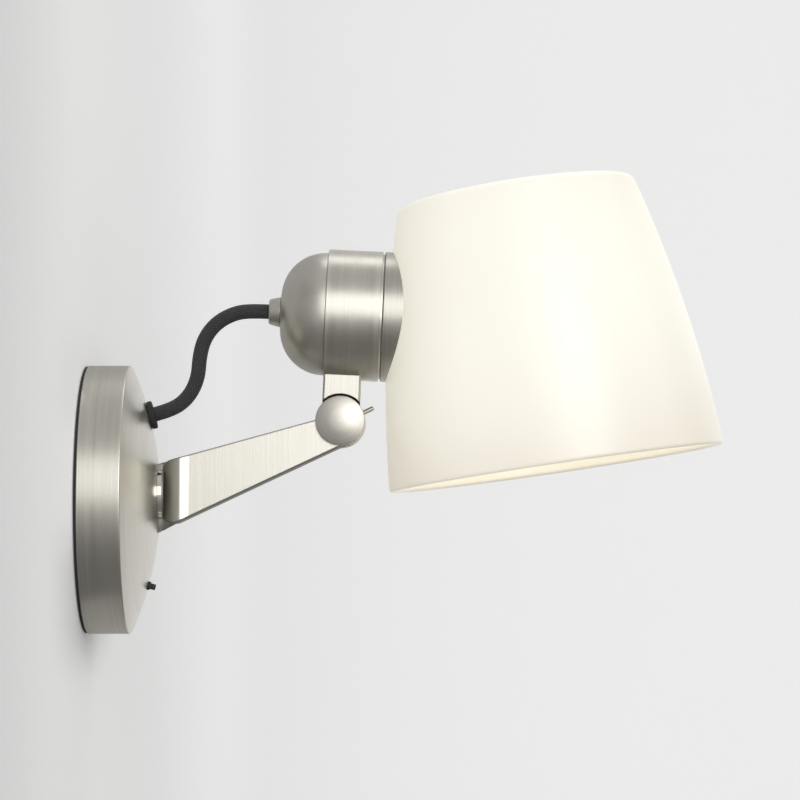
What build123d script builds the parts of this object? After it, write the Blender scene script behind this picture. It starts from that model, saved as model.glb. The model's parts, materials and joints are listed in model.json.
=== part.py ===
"""Adjustable wall lamp: a wall cup, a fixed arm and a tilting head with an opal glass shade.

Millimetres. The origin is the centre of the wall cup's back, on the wall. +X points out of the
wall, +Z points up, and the lamp is symmetric about the plane Y = 0 apart from its pivot fittings.
"""

import os
from math import asin, atan2, cos, hypot, pi, radians, sin, sqrt, tan

from build123d import *

# Clearances
running_gap = 0.05
seat_gap = 0.1
hole_gap = 0.15
free_gap = 0.3
edge_round = 0.4

# Wall cup, its gasket and its plate
cup_radius = 50.0
cup_rim_depth = 15.6
cup_dome_height = 10.6
cup_wall = 1.5
gasket_thickness = 0.9
gasket_inset = 0.3
plate_thickness = 2.0
plate_width = 24.0
plate_tab_depth = 12.0
plate_tab_gap = 0.8
plate_cable_radius = 6.0
wall_slot_pitch = 60.0
wall_slot_length = 9.0
wall_slot_width = 5.0
cup_screw_radius = 1.5
cup_screw_length = 8.0
cup_screw_height = 8.0

# Terminal block and earth screw on the plate
terminal_height = 11.0
terminal_depth = 12.0
terminal_length = 24.0
terminal_place = -17.0
terminal_pitch = 8.0
terminal_wire_radius = 1.6
terminal_screw_radius = 1.3
terminal_screw_length = 4.0
earth_place = 17.0
earth_screw_radius = 2.0
earth_head_radius = 3.8
earth_head_height = 2.4
earth_tag_thickness = 0.8
earth_tag_length = 13.0

# Cord grommet and cord
grommet_place = 31.35
grommet_flange_radius = 5.25
grommet_flange_thickness = 2.0
grommet_hole_radius = 4.2
grommet_lip_radius = 5.0
grommet_lip_thickness = 1.6
cord_radius = 2.75
cord_tail_length = 9.0
cord_corner_share = 0.45

# Push switch
switch_place = -32.0
switch_pin_radius = 1.1
switch_pin_reach = 2.95
switch_travel = 1.2
switch_collar_radius = 1.6
switch_collar_thickness = 0.85
switch_sleeve_wall = 0.25
switch_sleeve_depth = 4.0
switch_body_radius = 5.0
switch_body_depth = 9.5
switch_foot_radius = 1.9
switch_foot_thickness = 1.0

# Pivot and arm
pivot_reach = 94.6
pivot_rise = 29.1
arm_width = 16.0
arm_end_radius = 8.7
arm_slot_relief = 0.5
arm_top_above_pivot = 2.9
arm_top_angle = 15.4
arm_bottom_angle = 25.1
arm_nose_reach = 28.1
arm_nose_length = 6.8
arm_flare = 0.6
arm_flare_length = 3.7
arm_nose_corner = 5.0
arm_nose_overrun = 0.3
arm_edge_round = 0.7
arm_core_width = 6.4
arm_core_inset = 0.4
arm_core_spread = 1.2
arm_boss_radius = 9.5
arm_boss_rise = 1.9
arm_boss_length = 0.8
arm_bolt_radius = 2.5
arm_bolt_depth = 9.0
arm_bolt_head_radius = 4.62
arm_bolt_head_height = 3.5
arm_disc_radius = 11.0
arm_disc_thickness = 2.5
arm_washer_radius = 5.0
arm_washer_thickness = 1.0

# Pivot fittings
pivot_bolt_radius = 3.0
pivot_head_radius = 5.77
pivot_head_height = 2.0
pivot_cap_radius = 9.2
pivot_cap_rim = 2.0
pivot_cap_dome = 1.75
friction_washer_radius = 7.5
friction_washer_thickness = 0.5
spring_washer_radius = 6.5
spring_washer_thickness = 0.9
knob_radius = 9.3
knob_thickness = 6.5
knob_crown = 0.9
lever_radius = 0.9
lever_reach = 13.7
lever_root = 4.5
lever_angle = 25.6

# Head: neck, housing, rear cap and collar
head_droop = 2.6
axis_above_pivot = 40.1
neck_width = 14.0
neck_depth = 16.0
neck_corner = 1.5
neck_shoulder_radius = 10.1
tongue_thickness = 6.4
tongue_rise = 12.0
neck_screw_radius = 1.25
neck_screw_head_radius = 2.2
neck_screw_head_height = 2.0
neck_screw_spacing = 5.0
neck_screw_offset = 1.4
neck_screw_length = 8.0
neck_screw_spotface = 0.3
housing_radius = 24.4
housing_wall = 1.6
housing_back = -7.0
housing_front = 13.2
housing_web = 2.2
groove_width = 0.75
groove_depth = 0.95
cap_step = 1.4
cap_wall = 1.5
cap_straight = 0.5
cap_knuckle = 16.7
cap_crown = 106.0
cap_spigot_length = 3.0
collar_tip_radius = 4.6
collar_foot_radius = 5.75
collar_length = 4.4
collar_stem_radius = 3.9
collar_stem_length = 4.5
collar_nut_radius = 6.0
collar_nut_thickness = 2.4

# Shade, its seat and its clamp
shade_rim_radius = 63.0
shade_rim_draft = 3.9
shade_curve_radius = 500.0
shade_height = 104.8
shade_wall = 3.0
shade_shoulder = 5.0
shade_lip_round = 1.2
shade_cant = 10.9
shade_hole_height = 65.4
shade_wall_reach = 15.9
seat_wall = 3.0
seat_back = 1.6
washer_radius = 20.5
washer_front = 24.6
clamp_thickness = 5.0
clamp_notch_count = 12
clamp_notch_radius = 1.4

# Lampholder and bulb
holder_radius = 13.9
holder_back = -4.0
holder_front = 31.0
holder_flange_radius = 17.0
holder_flange_thickness = 2.5
holder_bore_floor = 8.0
holder_back_radius = 10.0
holder_back_depth = 7.0
shell_wall = 0.5
shell_length = 19.0
contact_radius = 2.6
contact_thickness = 0.8
bulb_cap_radius = 6.9
bulb_cap_length = 21.5
bulb_tip_radius = 2.4
bulb_tip_length = 1.0
bulb_globe_radius = 22.5
bulb_length = 78.0
bulb_neck_radius = 7.6
bulb_wall = 1.0

# Sizes that follow
cup_bore = cup_radius - cup_wall
rim_front = gasket_thickness + cup_rim_depth
dome_apex = rim_front + cup_dome_height
dome_radius = (cup_radius**2 + cup_dome_height**2) / (2 * cup_dome_height)
dome_centre = dome_apex - dome_radius
dome_inner_radius = dome_radius - cup_wall
arm_half = arm_width / 2
slot_half = tongue_thickness / 2 + running_gap + friction_washer_thickness + running_gap
slot_radius = arm_end_radius + arm_slot_relief
knob_near = arm_half + spring_washer_thickness + 2 * running_gap
knob_far = knob_near + knob_thickness
lever_place = (knob_near + knob_far) / 2
housing_bore = housing_radius - housing_wall
cap_radius = housing_radius - cap_step
seat_start = housing_front + groove_width
tab_outer = sqrt((cup_bore - plate_tab_gap) ** 2 - (plate_width / 2) ** 2)
tab_inner = tab_outer - plate_thickness


def dome_x(distance, inset=0.0):
    """X of the dome at a distance from the cup's axis, for the face moved in by inset."""
    return dome_centre + sqrt((dome_radius - inset) ** 2 - distance**2)


def dome_sag(radius):
    """How far the dome's inner face falls back across a flat disc of a radius that sits inside it."""
    return dome_inner_radius - sqrt(dome_inner_radius**2 - radius**2)


def dome_plane(height):
    """Plane on the dome at a height above the cup's axis, facing out along the dome's normal."""
    lean = asin(height / dome_radius)
    return Plane(origin=(dome_x(height), 0, height), x_dir=(0, 1, 0), z_dir=(cos(lean), 0, sin(lean)))


def profile_plane(section):
    """Plane with its first axis across a section's normal and its second axis along that normal."""
    return Plane(origin=section.origin, x_dir=(0, 1, 0), z_dir=section.x_dir.cross(section.z_dir))


def arm_top(x):
    """Height of the arm's top line at a distance from the wall."""
    return pivot_rise + arm_top_above_pivot - (pivot_reach - x) * tan(radians(arm_top_angle))


arm_tangent = (
    pivot_reach + arm_end_radius * sin(radians(arm_bottom_angle)),
    pivot_rise - arm_end_radius * cos(radians(arm_bottom_angle)),
)


def arm_bottom(x):
    """Height of the arm's bottom line, which is tangent to its round end."""
    return arm_tangent[1] - (arm_tangent[0] - x) * tan(radians(arm_bottom_angle))


# The head's own planes: u runs along the lampholder towards the shade, w runs up from the pivot
droop = radians(head_droop)
head_side = Plane(
    origin=(pivot_reach, 0, pivot_rise), x_dir=(cos(droop), 0, -sin(droop)), z_dir=(0, -1, 0)
)
holder_side = Plane(
    origin=head_side.from_local_coords((0, axis_above_pivot, 0)),
    x_dir=head_side.x_dir,
    z_dir=head_side.z_dir,
)
holder_axis = Axis(holder_side.origin, holder_side.x_dir)
pivot_side = Plane(origin=(pivot_reach, 0, pivot_rise), x_dir=(1, 0, 0), z_dir=(0, -1, 0))
pivot_plan = Plane(origin=(pivot_reach, 0, pivot_rise), x_dir=(1, 0, 0), z_dir=(0, 0, 1))
pivot_axis = Axis((pivot_reach, 0, pivot_rise), (0, 1, 0))


def holder_section(u):
    """Plane across the lampholder's axis at a distance from the pivot, facing the shade."""
    return Plane(
        origin=holder_side.from_local_coords((u, 0, 0)), x_dir=(0, 1, 0), z_dir=holder_side.x_dir
    )


# The shade's outer wall is an arc whose centre lies level with its widest circle, below the rim
shade_arc_level = -shade_curve_radius * sin(radians(shade_rim_draft))
shade_arc_offset = shade_rim_radius - shade_curve_radius * cos(radians(shade_rim_draft))


def shade_radius(height, inset=0.0):
    """Radius of the shade at a height above its rim, for the wall moved in by inset."""
    reach = shade_curve_radius - inset
    return shade_arc_offset + sqrt(reach**2 - (height - shade_arc_level) ** 2)


cant = radians(shade_cant)
shade_hole_radius = shade_radius(shade_hole_height)
shade_side = Plane(
    origin=holder_side.from_local_coords(
        (
            shade_wall_reach + shade_hole_radius * cos(cant) + shade_hole_height * sin(cant),
            shade_hole_radius * sin(cant) - shade_hole_height * cos(cant),
            0,
        )
    ),
    x_dir=Vector(*holder_side.x_dir).rotate(Axis.Y, -shade_cant),
    z_dir=holder_side.z_dir,
)
shade_axis = Axis(shade_side.origin, shade_side.y_dir)


# Wall gasket
with BuildPart() as wall_gasket:
    with BuildSketch(Plane.YZ):
        Circle(cup_radius - gasket_inset)
        Circle(cup_bore - gasket_inset, mode=Mode.SUBTRACT)
    extrude(amount=gasket_thickness)
wall_gasket.part.label = "wall_gasket"

# Wall plate: a bar on the wall with a bent tab at each end for the cup's screws
with BuildPart() as wall_plate:
    with BuildSketch(Plane.XZ):
        with Locations((plate_thickness / 2, 0)):
            Rectangle(plate_thickness, 2 * tab_outer)
        with Locations((plate_tab_depth / 2, (tab_inner + tab_outer) / 2)):
            Rectangle(plate_tab_depth, plate_thickness)
        with Locations((plate_tab_depth / 2, -(tab_inner + tab_outer) / 2)):
            Rectangle(plate_tab_depth, plate_thickness)
    extrude(amount=plate_width / 2, both=True)
    with BuildSketch(Plane.YZ):
        Circle(plate_cable_radius)
        with Locations((0, earth_place)):
            Circle(earth_screw_radius + running_gap)
        with Locations((0, wall_slot_pitch / 2), (0, -wall_slot_pitch / 2)):
            SlotOverall(wall_slot_length, wall_slot_width, rotation=90)
    extrude(amount=plate_thickness, mode=Mode.SUBTRACT)
    with BuildSketch(Plane.XY):
        with Locations((cup_screw_height, 0)):
            Circle(cup_screw_radius + running_gap)
    extrude(amount=cup_radius, both=True, mode=Mode.SUBTRACT)
wall_plate.part.label = "wall_plate"

# Wall cup: a shell with holes for the arm bolt, the grommet, the switch and two rim screws
with BuildPart() as wall_cup:
    with BuildSketch(Plane.XZ) as cup_half:
        with BuildLine():
            Polyline((gasket_thickness, cup_bore), (gasket_thickness, cup_radius), (rim_front, cup_radius))
            ThreePointArc(
                (rim_front, cup_radius), (dome_x(cup_radius / 2), cup_radius / 2), (dome_apex, 0)
            )
            Line((dome_apex, 0), (dome_apex - cup_wall, 0))
            ThreePointArc(
                (dome_apex - cup_wall, 0),
                (dome_x(cup_bore / 2, cup_wall), cup_bore / 2),
                (dome_x(cup_bore, cup_wall), cup_bore),
            )
            Line((dome_x(cup_bore, cup_wall), cup_bore), (gasket_thickness, cup_bore))
        make_face()
        fillet(cup_half.vertices().sort_by_distance((rim_front, cup_radius))[0], radius=edge_round)
    revolve(axis=Axis.X)
    with BuildSketch(Plane.YZ):
        with Locations((0, arm_boss_rise)):
            Circle(arm_bolt_radius + hole_gap)
    extrude(amount=dome_apex, mode=Mode.SUBTRACT)
    with BuildSketch(dome_plane(grommet_place)):
        Circle(grommet_hole_radius + running_gap)
    extrude(amount=3 * cup_wall, both=True, mode=Mode.SUBTRACT)
    with BuildSketch(dome_plane(switch_place)):
        Circle(switch_pin_radius + switch_sleeve_wall + 2 * running_gap)
    extrude(amount=3 * cup_wall, both=True, mode=Mode.SUBTRACT)
    with BuildSketch(Plane.XY):
        with Locations((cup_screw_height, 0)):
            Circle(cup_screw_radius + hole_gap)
    extrude(amount=cup_radius, both=True, mode=Mode.SUBTRACT)
wall_cup.part.label = "wall_cup"

# Cup screws: two socket set screws, one above and one below
with BuildPart() as cup_screws:
    for side in (1, -1):
        outer_face = Plane(
            origin=(cup_screw_height, 0, side * (cup_radius - edge_round)), z_dir=(0, 0, -side)
        )
        with BuildSketch(outer_face):
            Circle(cup_screw_radius)
        extrude(amount=cup_screw_length)
        with BuildSketch(outer_face):
            RegularPolygon(cup_screw_radius / 2, 6)
        extrude(amount=cup_screw_radius, mode=Mode.SUBTRACT)
cup_screws.part.label = "cup_screws"

# Terminal block: three wire ways across it, each with a clamp screw from the front
terminal_ways = [(step * terminal_pitch, 0) for step in (-1, 0, 1)]
terminal_front = plate_thickness + terminal_height
with BuildPart() as terminal_block:
    with BuildSketch(Plane.YZ.offset(plate_thickness)):
        with Locations((0, terminal_place)):
            RectangleRounded(terminal_length, terminal_depth, edge_round)
    extrude(amount=terminal_height)
    with BuildSketch(Plane.XY.offset(terminal_place)):
        with Locations(*[(plate_thickness + terminal_height / 2, way[0]) for way in terminal_ways]):
            Circle(terminal_wire_radius)
    extrude(amount=terminal_depth, both=True, mode=Mode.SUBTRACT)
    with BuildSketch(Plane.YZ.offset(terminal_front)):
        with Locations(*[(way[0], terminal_place) for way in terminal_ways]):
            Circle(terminal_screw_radius + running_gap)
    extrude(amount=-terminal_height / 2, mode=Mode.SUBTRACT)
terminal_block.part.label = "terminal_block"

with BuildPart() as terminal_screws:
    with BuildSketch(Plane.YZ.offset(terminal_front - edge_round)):
        with Locations(*[(way[0], terminal_place) for way in terminal_ways]):
            Circle(terminal_screw_radius)
    extrude(amount=-terminal_screw_length)
terminal_screws.part.label = "terminal_screws"

# Earth screw and the tag it holds
with BuildPart() as earth_tag:
    with BuildSketch(Plane.YZ.offset(plate_thickness)):
        with Locations((earth_tag_length / 2 - earth_head_radius, earth_place)):
            SlotOverall(earth_tag_length, 2 * earth_head_radius)
        with Locations((0, earth_place)):
            Circle(earth_screw_radius + running_gap, mode=Mode.SUBTRACT)
    extrude(amount=earth_tag_thickness)
earth_tag.part.label = "earth_tag"

with BuildPart() as earth_screw:
    with BuildSketch(Plane.YZ):
        with Locations((0, earth_place)):
            Circle(earth_screw_radius)
    extrude(amount=plate_thickness + earth_tag_thickness)
    with BuildSketch(Plane.YZ.offset(plate_thickness + earth_tag_thickness)):
        with Locations((0, earth_place)):
            Circle(earth_head_radius)
    extrude(amount=earth_head_height)
    with BuildSketch(Plane.YZ.offset(plate_thickness + earth_tag_thickness + earth_head_height)):
        with Locations((0, earth_place)):
            Rectangle(2 * earth_head_radius, earth_screw_radius / 2)
    extrude(amount=-earth_head_height / 2, mode=Mode.SUBTRACT)
earth_screw.part.label = "earth_screw"

# Grommet: an outer flange, a neck in the cup's hole and an inner lip, with a bore for the cord
grommet_section = dome_plane(grommet_place)
grommet_inner_face = cup_wall + dome_sag(grommet_lip_radius) + running_gap
with BuildPart() as cord_grommet:
    with BuildSketch(profile_plane(grommet_section)):
        with BuildLine():
            Polyline(
                (cord_radius + running_gap, seat_gap),
                (grommet_flange_radius, seat_gap),
                (grommet_flange_radius, seat_gap + grommet_flange_thickness),
                (cord_radius + running_gap, seat_gap + grommet_flange_thickness),
                close=True,
            )
        make_face()
        with BuildLine():
            Polyline(
                (cord_radius + running_gap, -grommet_inner_face),
                (grommet_hole_radius, -grommet_inner_face),
                (grommet_hole_radius, seat_gap),
                (cord_radius + running_gap, seat_gap),
                close=True,
            )
        make_face()
        with BuildLine():
            Polyline(
                (cord_radius + running_gap, -grommet_inner_face - grommet_lip_thickness),
                (grommet_lip_radius, -grommet_inner_face - grommet_lip_thickness),
                (grommet_lip_radius, -grommet_inner_face),
                (cord_radius + running_gap, -grommet_inner_face),
                close=True,
            )
        make_face()
    revolve(axis=Axis(grommet_section.origin, grommet_section.z_dir))
    flange_circles = cord_grommet.edges().filter_by(GeomType.CIRCLE).group_by(SortBy.RADIUS)[-1]
    fillet(flange_circles, radius=edge_round)
cord_grommet.part.label = "cord_grommet"

# Cord: a fabric-covered flex in one S-curve, from the grommet's face to the collar's face
cord_start = grommet_section.from_local_coords((0, 0, seat_gap + grommet_flange_thickness))
cap_knuckle_u = housing_back - cap_straight
cap_knuckle_r = cap_radius - cap_knuckle
cap_crown_u = cap_knuckle_u + sqrt((cap_crown - cap_knuckle) ** 2 - cap_knuckle_r**2)
collar_foot = cap_crown_u - sqrt(cap_crown**2 - collar_stem_radius**2) - running_gap
collar_tip = collar_foot - collar_length
cord_end = holder_side.from_local_coords((collar_tip, 0, 0))
cord_route = [
    cord_start,
    Vector(32.33, 0, 33.79),
    Vector(38.1, 0, 38.7),
    Vector(41.3, 0, 45.7),
    Vector(41.8, 0, 53.6),
    Vector(43.6, 0, 60.6),
    Vector(48.4, 0, 66.6),
    Vector(55.4, 0, 70.15),
    Vector(61.8, 0, 70.73),
    cord_end,
]


def corner_radii(route):
    """Radius of each corner of a route, from a share of its shorter run and the tangent of half its turn."""
    radii = []
    for before, corner, after in zip(route, route[1:], route[2:]):
        turn = radians((corner - before).get_angle(after - corner))
        shorter = min((corner - before).length, (after - corner).length)
        radii.append(cord_corner_share * shorter / tan(turn / 2))
    return radii


cord_radii = corner_radii(cord_route)
with BuildPart() as cord:
    with BuildLine() as cord_path:
        FilletPolyline(*cord_route, radius=cord_radii)
    cord_mouth = Plane(origin=cord_start, x_dir=(0, 1, 0), z_dir=cord_path.line % 0)
    with BuildSketch(cord_mouth):
        Circle(cord_radius)
    sweep(path=cord_path.line)
cord.part.label = "cord"
print("cord radii", [round(radius, 1) for radius in cord_radii])
cord_length = sum(edge.length for edge in cord_path.edges())
cord_fill = cord.part.volume / (pi * cord_radius**2 * cord_length)
print("cord length", round(cord_length, 1))
print("cord volume over section times length", round(cord_fill, 4))

# Cord tails: the cord's ends inside the cup and inside the head
with BuildPart() as cup_cord_tail:
    with BuildSketch(Plane(origin=cord_start, x_dir=(0, 1, 0), z_dir=-grommet_section.z_dir)):
        Circle(cord_radius)
    extrude(amount=cord_tail_length)
cup_cord_tail.part.label = "cup_cord_tail"

with BuildPart() as head_cord_tail:
    with BuildSketch(holder_section(collar_tip)):
        Circle(cord_radius)
    extrude(amount=cord_tail_length + collar_length)
head_cord_tail.part.label = "head_cord_tail"

# Push switch: a collar with a sleeve through the dome, a body inside and a sliding button
switch_section = dome_plane(switch_place)
switch_axis = Axis(switch_section.origin, switch_section.z_dir)
sleeve_bore = switch_pin_radius + running_gap
sleeve_radius = sleeve_bore + switch_sleeve_wall
body_top = -cup_wall - dome_sag(switch_body_radius) - seat_gap
sleeve_end = body_top - switch_sleeve_depth
foot_room = switch_foot_radius + free_gap
with BuildPart() as switch_collar:
    with BuildSketch(switch_section.offset(seat_gap)):
        Circle(switch_collar_radius)
        Circle(sleeve_bore, mode=Mode.SUBTRACT)
    extrude(amount=switch_collar_thickness)
    with BuildSketch(switch_section.offset(seat_gap)):
        Circle(sleeve_radius)
        Circle(sleeve_bore, mode=Mode.SUBTRACT)
    extrude(amount=sleeve_end - seat_gap)
switch_collar.part.label = "switch_collar"

with BuildPart() as switch_body:
    with BuildSketch(switch_section.offset(body_top)):
        Circle(switch_body_radius)
    extrude(amount=-switch_body_depth)
    with BuildSketch(switch_section.offset(body_top)):
        Circle(sleeve_radius + running_gap)
    extrude(amount=-switch_sleeve_depth, mode=Mode.SUBTRACT)
    with BuildSketch(switch_section.offset(sleeve_end)):
        Circle(foot_room)
    extrude(amount=-(switch_foot_thickness + switch_travel + 2 * hole_gap), mode=Mode.SUBTRACT)
switch_body.part.label = "switch_body"

with BuildPart() as switch_button:
    with BuildSketch(switch_section.offset(switch_pin_reach)):
        Circle(switch_pin_radius)
    extrude(amount=sleeve_end - hole_gap - switch_pin_reach)
    with BuildSketch(switch_section.offset(sleeve_end - hole_gap)):
        Circle(switch_foot_radius)
    extrude(amount=-switch_foot_thickness)
    tip_circles = switch_button.edges().filter_by(GeomType.CIRCLE).sort_by(switch_axis)
    fillet(tip_circles[-1], radius=edge_round / 2)
switch_button.part.label = "switch_button"

# Arm: a tapered bar with a flared round foot, an oval core and boss on the dome, and a forked end
foot_reach = arm_nose_reach + arm_nose_length
foot_half = arm_half + arm_flare
core_end = foot_reach + arm_flare_length
profile_back = arm_nose_reach - arm_nose_overrun
with BuildPart() as arm:
    with BuildSketch(Plane.XZ) as arm_face:
        with BuildLine():
            Polyline(
                (profile_back, arm_top(profile_back)),
                (pivot_reach, arm_top(pivot_reach)),
                arm_tangent,
                (profile_back, arm_bottom(profile_back)),
                close=True,
            )
        make_face()
        with Locations((pivot_reach, pivot_rise)):
            Circle(arm_end_radius)
        fillet(arm_face.vertices().group_by(Axis.X)[0], radius=arm_nose_corner)
    extrude(amount=foot_half, both=True)
    with BuildSketch(Plane.XY.offset(pivot_rise - pivot_reach)):
        with BuildLine():
            Spline((foot_reach, -foot_half), (core_end, -arm_half), tangents=((1, 0), (1, 0)))
            Polyline(
                (core_end, -arm_half),
                (core_end + pivot_reach, -arm_half),
                (core_end + pivot_reach, arm_half),
                (core_end, arm_half),
            )
            Spline((core_end, arm_half), (foot_reach, foot_half), tangents=((-1, 0), (-1, 0)))
            EllipticalCenterArc((foot_reach, 0), arm_nose_length, foot_half, 90, arc_size=180)
        make_face()
    extrude(amount=2 * pivot_reach, mode=Mode.INTERSECT)
    fillet(
        arm.edges().filter_by(Axis.Y, reverse=True).filter_by(Axis.Z, reverse=True), radius=arm_edge_round
    )
    for place, spread in ((rim_front, arm_core_spread), (core_end, 0)):
        core_half = (arm_top(place) - arm_bottom(place)) / 2 - arm_core_inset + spread
        with BuildSketch(Plane.YZ.offset(place)):
            with Locations((0, (arm_top(place) + arm_bottom(place)) / 2)):
                Ellipse(arm_core_width / 2, core_half)
    loft()
    with BuildSketch(Plane.YZ.offset(rim_front)):
        with Locations((0, arm_boss_rise)):
            Circle(arm_boss_radius)
    extrude(amount=arm_nose_reach + arm_boss_length - rim_front)
    with Locations((dome_centre, 0, 0)):
        Sphere(dome_radius + seat_gap, mode=Mode.SUBTRACT)
    with BuildSketch(Plane.XZ):
        with Locations((pivot_reach, pivot_rise)):
            Circle(slot_radius)
    extrude(amount=slot_half, both=True, mode=Mode.SUBTRACT)
    with BuildSketch(Plane.XZ):
        with Locations((pivot_reach, pivot_rise)):
            Circle(pivot_bolt_radius + running_gap)
    extrude(amount=arm_width, both=True, mode=Mode.SUBTRACT)
    with BuildSketch(Plane.YZ.offset(rim_front)):
        with Locations((0, arm_boss_rise)):
            Circle(arm_bolt_radius + running_gap)
    extrude(amount=dome_apex + arm_bolt_depth + hole_gap - rim_front, mode=Mode.SUBTRACT)
arm.part.label = "arm"

# Arm bolt inside the cup, with its washer and a backing disc shaped to the dome
disc_back = dome_x(arm_disc_radius + arm_boss_rise, cup_wall) - arm_disc_thickness
bolt_seat = disc_back - arm_washer_thickness - running_gap
with BuildPart() as arm_disc:
    with BuildSketch(Plane.YZ.offset(disc_back)):
        with Locations((0, arm_boss_rise)):
            Circle(arm_disc_radius)
            Circle(arm_bolt_radius + hole_gap, mode=Mode.SUBTRACT)
    extrude(amount=dome_apex - disc_back)
    with Locations((dome_centre, 0, 0)):
        Sphere(dome_inner_radius - seat_gap, mode=Mode.INTERSECT)
arm_disc.part.label = "arm_disc"

with BuildPart() as arm_washer:
    with BuildSketch(Plane.YZ.offset(disc_back)):
        with Locations((0, arm_boss_rise)):
            Circle(arm_washer_radius)
            Circle(arm_bolt_radius + hole_gap, mode=Mode.SUBTRACT)
    extrude(amount=-arm_washer_thickness)
arm_washer.part.label = "arm_washer"

with BuildPart() as arm_bolt:
    with BuildSketch(Plane.YZ.offset(bolt_seat)):
        with Locations((0, arm_boss_rise)):
            Circle(arm_bolt_radius)
    extrude(amount=dome_apex + arm_bolt_depth - bolt_seat)
    with BuildSketch(Plane.YZ.offset(bolt_seat)):
        with Locations((0, arm_boss_rise)):
            RegularPolygon(arm_bolt_head_radius, 6)
    extrude(amount=-arm_bolt_head_height)
arm_bolt.part.label = "arm_bolt"

# Pivot bolt: its head sits under the domed cap, its shank carries the neck and the clamp knob
with BuildPart() as pivot_bolt:
    with BuildSketch(pivot_side.offset(arm_half)):
        RegularPolygon(pivot_head_radius, 6)
    extrude(amount=pivot_head_height)
    with BuildSketch(pivot_side.offset(arm_half)):
        Circle(pivot_bolt_radius)
    extrude(amount=-(arm_half + knob_far - knob_crown - hole_gap))
pivot_bolt.part.label = "pivot_bolt"

cap_foot = -arm_half - running_gap
cap_top = cap_foot - pivot_cap_rim - pivot_cap_dome
cap_sphere = (pivot_cap_radius**2 + pivot_cap_dome**2) / (2 * pivot_cap_dome)
cap_shoulder_x = sqrt(cap_sphere**2 - (cap_sphere - pivot_cap_dome / 2) ** 2)
cap_pocket = pivot_head_radius + hole_gap
cap_pocket_top = -arm_half - pivot_head_height - hole_gap
with BuildPart() as pivot_cap:
    with BuildSketch(pivot_plan):
        with BuildLine():
            Polyline(
                (0, cap_pocket_top),
                (cap_pocket, cap_pocket_top),
                (cap_pocket, cap_foot),
                (pivot_cap_radius, cap_foot),
                (pivot_cap_radius, cap_foot - pivot_cap_rim),
            )
            ThreePointArc(
                (pivot_cap_radius, cap_foot - pivot_cap_rim),
                (cap_shoulder_x, cap_top + pivot_cap_dome / 2),
                (0, cap_top),
            )
            Line((0, cap_top), (0, cap_pocket_top))
        make_face()
    revolve(axis=pivot_axis)
pivot_cap.part.label = "pivot_cap"

# Friction washers, one in each side of the arm's fork
with BuildPart() as friction_washers:
    for side in (1, -1):
        with BuildSketch(pivot_side.offset(side * (tongue_thickness / 2 + running_gap))):
            Circle(friction_washer_radius)
            Circle(pivot_bolt_radius + running_gap, mode=Mode.SUBTRACT)
        extrude(amount=side * friction_washer_thickness)
friction_washers.part.label = "friction_washers"

with BuildPart() as spring_washer:
    with BuildSketch(pivot_side.offset(-arm_half - running_gap)):
        Circle(spring_washer_radius)
        Circle(pivot_bolt_radius + running_gap, mode=Mode.SUBTRACT)
    extrude(amount=-spring_washer_thickness)
spring_washer.part.label = "spring_washer"

# Clamp knob on the far side of the pivot, and the lever pin that turns it
lever_turn = radians(lever_angle)
lever_section = Plane(
    origin=(
        pivot_reach + lever_root * cos(lever_turn),
        lever_place,
        pivot_rise + lever_root * sin(lever_turn),
    ),
    x_dir=(0, 1, 0),
    z_dir=(cos(lever_turn), 0, sin(lever_turn)),
)
with BuildPart() as clamp_knob:
    with BuildSketch(pivot_side.offset(-knob_near)):
        Circle(knob_radius)
    extrude(amount=-knob_thickness)
    knob_circles = clamp_knob.edges().filter_by(GeomType.CIRCLE).sort_by(Axis.Y)
    fillet(knob_circles[-1], radius=knob_crown)
    fillet(knob_circles[0], radius=edge_round / 2)
    with BuildSketch(pivot_side.offset(-knob_near)):
        Circle(pivot_bolt_radius + running_gap)
    extrude(amount=-(knob_thickness - knob_crown), mode=Mode.SUBTRACT)
    with BuildSketch(lever_section):
        Circle(lever_radius + running_gap)
    extrude(amount=lever_reach, mode=Mode.SUBTRACT)
clamp_knob.part.label = "clamp_knob"

with BuildPart() as lever_pin:
    with BuildSketch(lever_section):
        Circle(lever_radius)
    extrude(amount=lever_reach - lever_root)
    pin_circles = lever_pin.edges().filter_by(GeomType.CIRCLE).sort_by(Axis.X)
    fillet(pin_circles[-1], radius=lever_radius / 3)
lever_pin.part.label = "lever_pin"

# Neck: a block with chamfered corners, hollowed round the arm's end, and a tongue in the fork
neck_screw_seat = axis_above_pivot - housing_bore - neck_screw_spotface
neck_screw_spots = [
    (neck_screw_offset - neck_screw_spacing / 2, 0),
    (neck_screw_offset + neck_screw_spacing / 2, 0),
]
neck_floor = Plane(origin=head_side.origin, x_dir=head_side.x_dir, z_dir=head_side.y_dir)
neck_screw_face = neck_floor.offset(neck_screw_seat)
with BuildPart() as neck:
    with BuildSketch(neck_floor) as neck_block:
        Rectangle(neck_width, neck_depth)
        chamfer(neck_block.vertices(), length=neck_corner)
    extrude(amount=axis_above_pivot)
    with BuildSketch(head_side):
        Circle(neck_shoulder_radius)
    extrude(amount=neck_depth, both=True, mode=Mode.SUBTRACT)
    with BuildSketch(head_side):
        Circle(neck_width / 2)
        with Locations((0, tongue_rise / 2)):
            Rectangle(neck_width, tongue_rise)
    extrude(amount=tongue_thickness / 2, both=True)
    with BuildSketch(holder_section(-neck_width)):
        Circle(housing_radius + seat_gap)
    extrude(amount=2 * neck_width, mode=Mode.SUBTRACT)
    with BuildSketch(head_side):
        Circle(pivot_bolt_radius + running_gap)
    extrude(amount=neck_depth, both=True, mode=Mode.SUBTRACT)
    with BuildSketch(neck_screw_face):
        with Locations(*neck_screw_spots):
            Circle(neck_screw_radius + running_gap)
    extrude(amount=-neck_screw_length - hole_gap, mode=Mode.SUBTRACT)
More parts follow.
